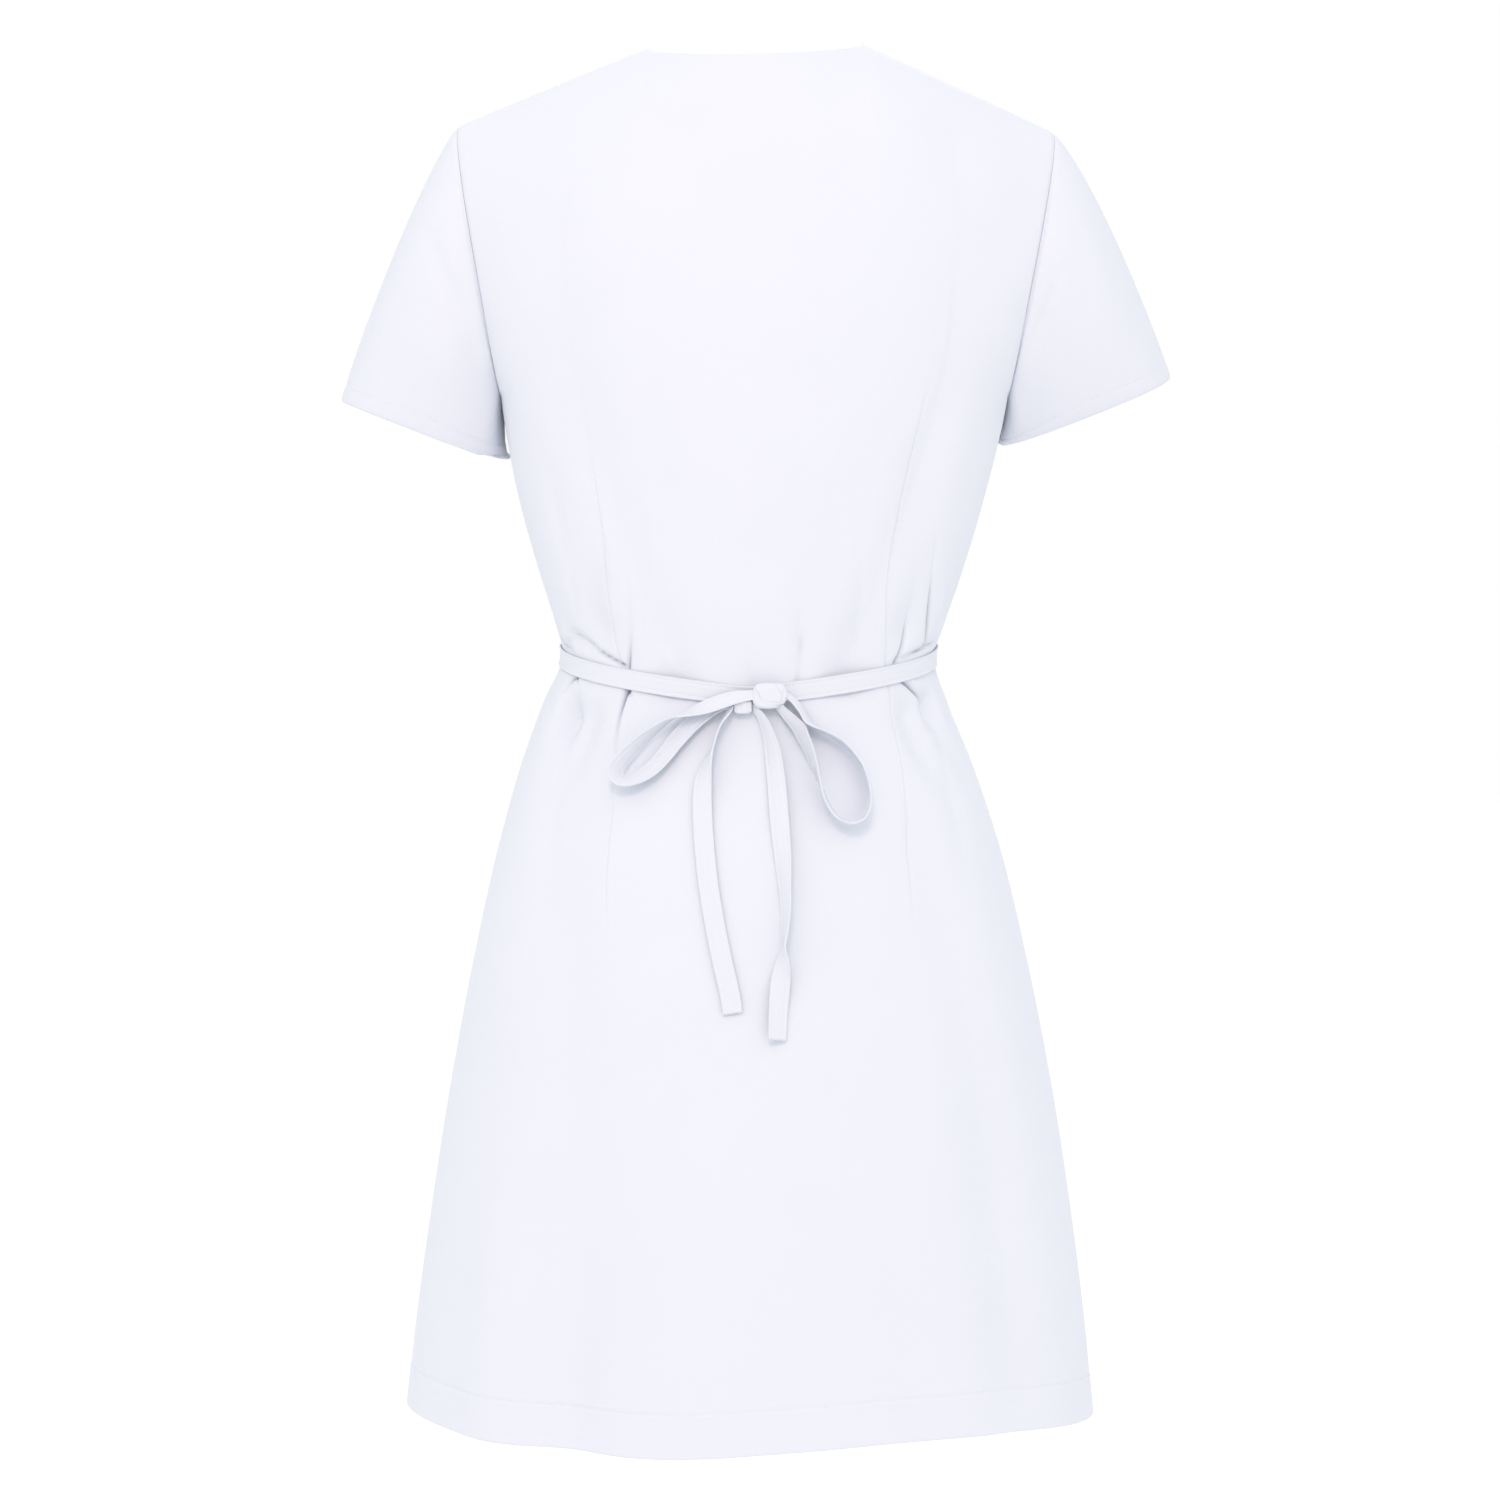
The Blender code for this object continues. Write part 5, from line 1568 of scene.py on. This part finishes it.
# Folds pressed into each lump: place, slope, width and depth as shares of its size, and bend
KNOT_FOLDS = table(
    "name x z slope width depth bend",
    """
    bow_knot -0.30 0.55 2.2 0.07 0.13 0.35
    bow_knot 0.35 -0.10 0.55 0.10 0.08 -0.30
    bow_knot 0.00 -0.45 0.30 0.12 0.07 0.40
    bow_knot -0.72 0.05 -2.5 0.09 0.10 -0.20
    bow_knot 0.78 0.35 3.0 0.07 0.09 0.30
    bow_wrap -0.55 0.0 7.0 0.07 0.13 0.15
    bow_wrap -0.22 0.0 6.0 0.07 0.12 0.15
    bow_wrap 0.12 0.0 7.0 0.08 0.10 0.15
    """,
    words=1,
)


def fold_press(name, ball):
    """Share by which the folds of a lump press it in at places of the round ball."""
    press = 0.0
    for fold in KNOT_FOLDS[KNOT_FOLDS["name"] == name]:
        slope = math.atan(fold["slope"])
        x, z = ball[:, 0] - fold["x"], ball[:, 2] - fold["z"]
        ahead = x * math.cos(slope) + z * math.sin(slope)
        aside = z * math.cos(slope) - x * math.sin(slope) - fold["bend"] * ahead * ahead
        press = press + fold["depth"] * bell(np.abs(aside), fold["width"], KNOT_FOLD_FALL)
    return press * np.abs(ball[:, 1]) ** 0.5


def ball_places():
    """Places on a round ball, ring by ring, and then its two poles."""
    tilt = np.linspace(0.0, math.pi, KNOT_RINGS + 1)[1:-1, None]
    turn = np.linspace(0.0, 2.0 * math.pi, KNOT_SEGMENTS + 1)[:-1]
    places = (np.sin(tilt) * np.cos(turn), np.sin(tilt) * np.sin(turn), np.cos(tilt))
    rings = np.stack(np.broadcast_arrays(*places), axis=-1).reshape(-1, 3)
    return np.concatenate([rings, [(0.0, 0.0, 1.0), (0.0, 0.0, -1.0)]])


def ball_faces():
    """Corners of the ball's faces: four between two rings, three round each pole."""
    cells = grid_cells(KNOT_RINGS - 1, KNOT_SEGMENTS, True)[:, ::-1]
    faces = (cells[..., 0] * KNOT_SEGMENTS + cells[..., 1] % KNOT_SEGMENTS).tolist()
    top = (KNOT_RINGS - 1) * KNOT_SEGMENTS
    last = top - KNOT_SEGMENTS
    for step in range(KNOT_SEGMENTS):
        ahead = (step + 1) % KNOT_SEGMENTS
        faces += [[step, ahead, top], [last + ahead, last + step, top + 1]]
    return faces


def knot_mesh(name, knot):
    """One rounded lump of the knot with the folds pressed into it."""
    across, level = back_place(np.array([knot["x"]]), np.array([knot["z"]]))
    outward = cloth_outward("back", across, level)[0]
    centre = cloth_point("back", across, level)[0] + outward * knot["off"]
    ball = ball_places()
    half = np.array([knot["half_x"], knot["half_off"], knot["half_z"]])
    press = 1.0 - fold_press(name, ball)
    points = np.sign(ball) * np.abs(ball) ** KNOT_SQUARENESS[name] * half * press[:, None]
    if name == "bow_knot":
        lower = np.clip(-np.sign(ball[:, 2]), 0.0, 1.0)
        points[:, 2] *= 1.0 - KNOT_SLANT * lower * np.clip(-ball[:, 0], 0.0, None)
    mesh = bpy.data.meshes.new(name.replace("bow_", "bow_cloth_"))
    faces = ball_faces()
    mesh.from_pydata((points + centre).tolist(), [], faces)
    corners = [corner for face in faces for corner in face]
    layer = mesh.uv_layers.new(name="cloth")
    layer.data.foreach_set("uv", points[corners][:, [0, 2]].ravel().astype(np.float32))
    mesh.shade_smooth()
    return mesh


for knot in KNOTS:
    name = str(knot["name"])
    dress_pieces[name] = add_cloth(knot_mesh(name, knot), "bow_cloth", name)
    print(name, "has", len(dress_pieces[name].data.polygons), "faces")

# %% [markdown]
# ## Stitches
# Machine stitches repeat along a path, which is what Geometry Nodes are for. The tree turns a
# line into a curve, sets points along it at the stitch length, and lays a small rounded
# thread at each, turned along the line. Its sizes are named inputs, so the hems take long
# stitches and the tie short ones from the same tree. The result is made a plain mesh.

# %% Stitch tree
def build_stitch_tree():
    """Geometry Nodes tree that sews along a line of edges."""
    tree = bpy.data.node_groups.new("sew_along", "GeometryNodeTree")
    sizes = {"Pitch": ("Float", 0.003), "Stitch": ("Float", 0.0025), "Thread": ("Float", 0.00016)}
    add_sockets(tree, "INPUT", Line="Geometry", **sizes, Material="Material")
    add_sockets(tree, "OUTPUT", Stitches="Geometry")
    given, result = add_node(tree, "NodeGroupInput"), add_node(tree, "NodeGroupOutput")
    curve = add_node(tree, "GeometryNodeMeshToCurve")
    even = add_node(tree, "GeometryNodeResampleCurve", mode="LENGTH")
    tangent = add_node(tree, "GeometryNodeInputTangent")
    turn = add_node(tree, "FunctionNodeAlignRotationToVector", axis="Z")
    ball = add_node(tree, "GeometryNodeMeshUVSphere", {"Segments": 6, "Rings": 5, "Radius": 1.0})
    halved = add_node(tree, "ShaderNodeMath", {1: 0.5}, operation="MULTIPLY")
    size = add_node(tree, "ShaderNodeCombineXYZ")
    place = add_node(tree, "GeometryNodeInstanceOnPoints")
    real = add_node(tree, "GeometryNodeRealizeInstances")
    paint = add_node(tree, "GeometryNodeSetMaterial")
    join(
        tree,
        (given, "Line", curve, "Mesh"),
        (curve, "Curve", even, "Curve"),
        (given, "Pitch", even, "Length"),
        (tangent, "Tangent", turn, "Vector"),
        (given, "Stitch", halved, 0),
        (given, "Thread", size, "X"),
        (given, "Thread", size, "Y"),
        (halved, 0, size, "Z"),
        (even, "Curve", place, "Points"),
        (ball, "Mesh", place, "Instance"),
        (turn, "Rotation", place, "Rotation"),
        (size, "Vector", place, "Scale"),
        (place, "Instances", real, "Geometry"),
        (real, "Geometry", paint, "Geometry"),
        (given, "Material", paint, "Material"),
        (paint, "Geometry", result, "Stitches"),
    )
    return tree


stitch_tree = build_stitch_tree()
print("stitch tree with", len(stitch_tree.nodes), "nodes")

# %% Thread
THREAD_COLOUR = (0.86, 0.86, 0.90, 1.0)
thread_look = {"Roughness": 0.45, "Specular IOR Level": 0.35}
thread, thread_tree, thread_shader = new_material("thread", thread_look)
twist = add_node(thread_tree, "ShaderNodeTexNoise", {"Scale": 900.0})
spot = add_node(thread_tree, "ShaderNodeTexCoord")
shade = add_node(thread_tree, "ShaderNodeMix", data_type="RGBA")
shade.inputs["A"].default_value = [c * 0.93 for c in THREAD_COLOUR[:3]] + [1.0]
shade.inputs["B"].default_value = THREAD_COLOUR
join(
    thread_tree,
    (spot, "Object", twist, "Vector"),
    (twist, "Fac", shade, "Factor"),
    (shade, "Result", thread_shader, "Base Color"),
)
print("thread ready")


# %% Sew along lines
def sew(name, lines, sizes):
    """Plain mesh of the stitches along several lines of points, in the sizes given."""
    mesh = bpy.data.meshes.new(name + "_line")
    points = np.concatenate(lines)
    edges, start = [], 0
    for line in lines:
        edges += [(start + k, start + k + 1) for k in range(len(line) - 1)]
        start += len(line)
    mesh.from_pydata(points.tolist(), edges, [])
    guide = bpy.data.objects.new(name + "_line", mesh)
    scene.collection.objects.link(guide)
    modifier = guide.modifiers.new("sew", "NODES")
    modifier.node_group = stitch_tree
    values = dict(zip(("Pitch", "Stitch", "Thread"), sizes), Material=thread)
    for socket in stitch_tree.interface.items_tree:
        if socket.in_out == "INPUT" and socket.name in values:
            modifier[socket.identifier] = values[socket.name]
    ready = guide.evaluated_get(bpy.context.evaluated_depsgraph_get())
    result = bpy.data.meshes.new_from_object(ready)
    result.name = name
    result.shade_smooth()
    bpy.data.objects.remove(guide, do_unlink=True)
    piece = bpy.data.objects.new(name, result)
    scene.collection.objects.link(piece)
    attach(piece, "root")
    return piece


def line_at(points, normals, distance, wanted, lift):
    """Line over a grid at a wanted distance along its columns, lifted off the cloth."""
    columns = range(points.shape[1])
    raised = points + normals * lift
    return np.stack(
        [
            np.array([np.interp(wanted, distance[:, c], raised[:, c, axis]) for c in columns])
            for axis in range(3)
        ],
        axis=1,
    )


THREAD_RADIUS = 0.00017
HEM_SIZES = (0.0031, 0.0024, THREAD_RADIUS)             # pitch, length of a stitch, radius
TIE_SIZES = (0.0024, 0.0018, THREAD_RADIUS * 0.8)
for side in ("back", "front"):
    line = line_at(outer[side], outer_normals[side], panels[side][5], HEM_TURN, THREAD_RADIUS / 2)
    sew(side + "_hem_stitches", [line], HEM_SIZES)
for name, (points, normals, _, from_cuff) in sleeves.items():
    line = line_at(points[::-1], normals[::-1], from_cuff[::-1], SLEEVE_HEM, THREAD_RADIUS / 2)
    lines = [np.concatenate([line, line[:1]])]
    sew("sleeve_stitches_" + name, lines, HEM_SIZES)
for name, rings in tie_rings.items():
    faces = [rings[:, k] for k in stitch_lines]
    if name.startswith("bow"):
        faces += [rings[:, (len(profile) - 1 - k) % len(profile)] for k in stitch_lines]
    sew(name + "_stitches", faces, TIE_SIZES)

# %% [markdown]
# ## The pieces of the dress
# The loop below goes over every piece by its kind and leaves each as it is. The cut of each
# panel and sleeve was measured above on its grid: the widest row, below the arms on a panel,
# and the longest column.

for name, piece in dress_pieces.items():
    if name in ("back", "front"):
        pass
    elif name.startswith("sleeve"):
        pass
    elif name in tie_rings:
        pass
    else:
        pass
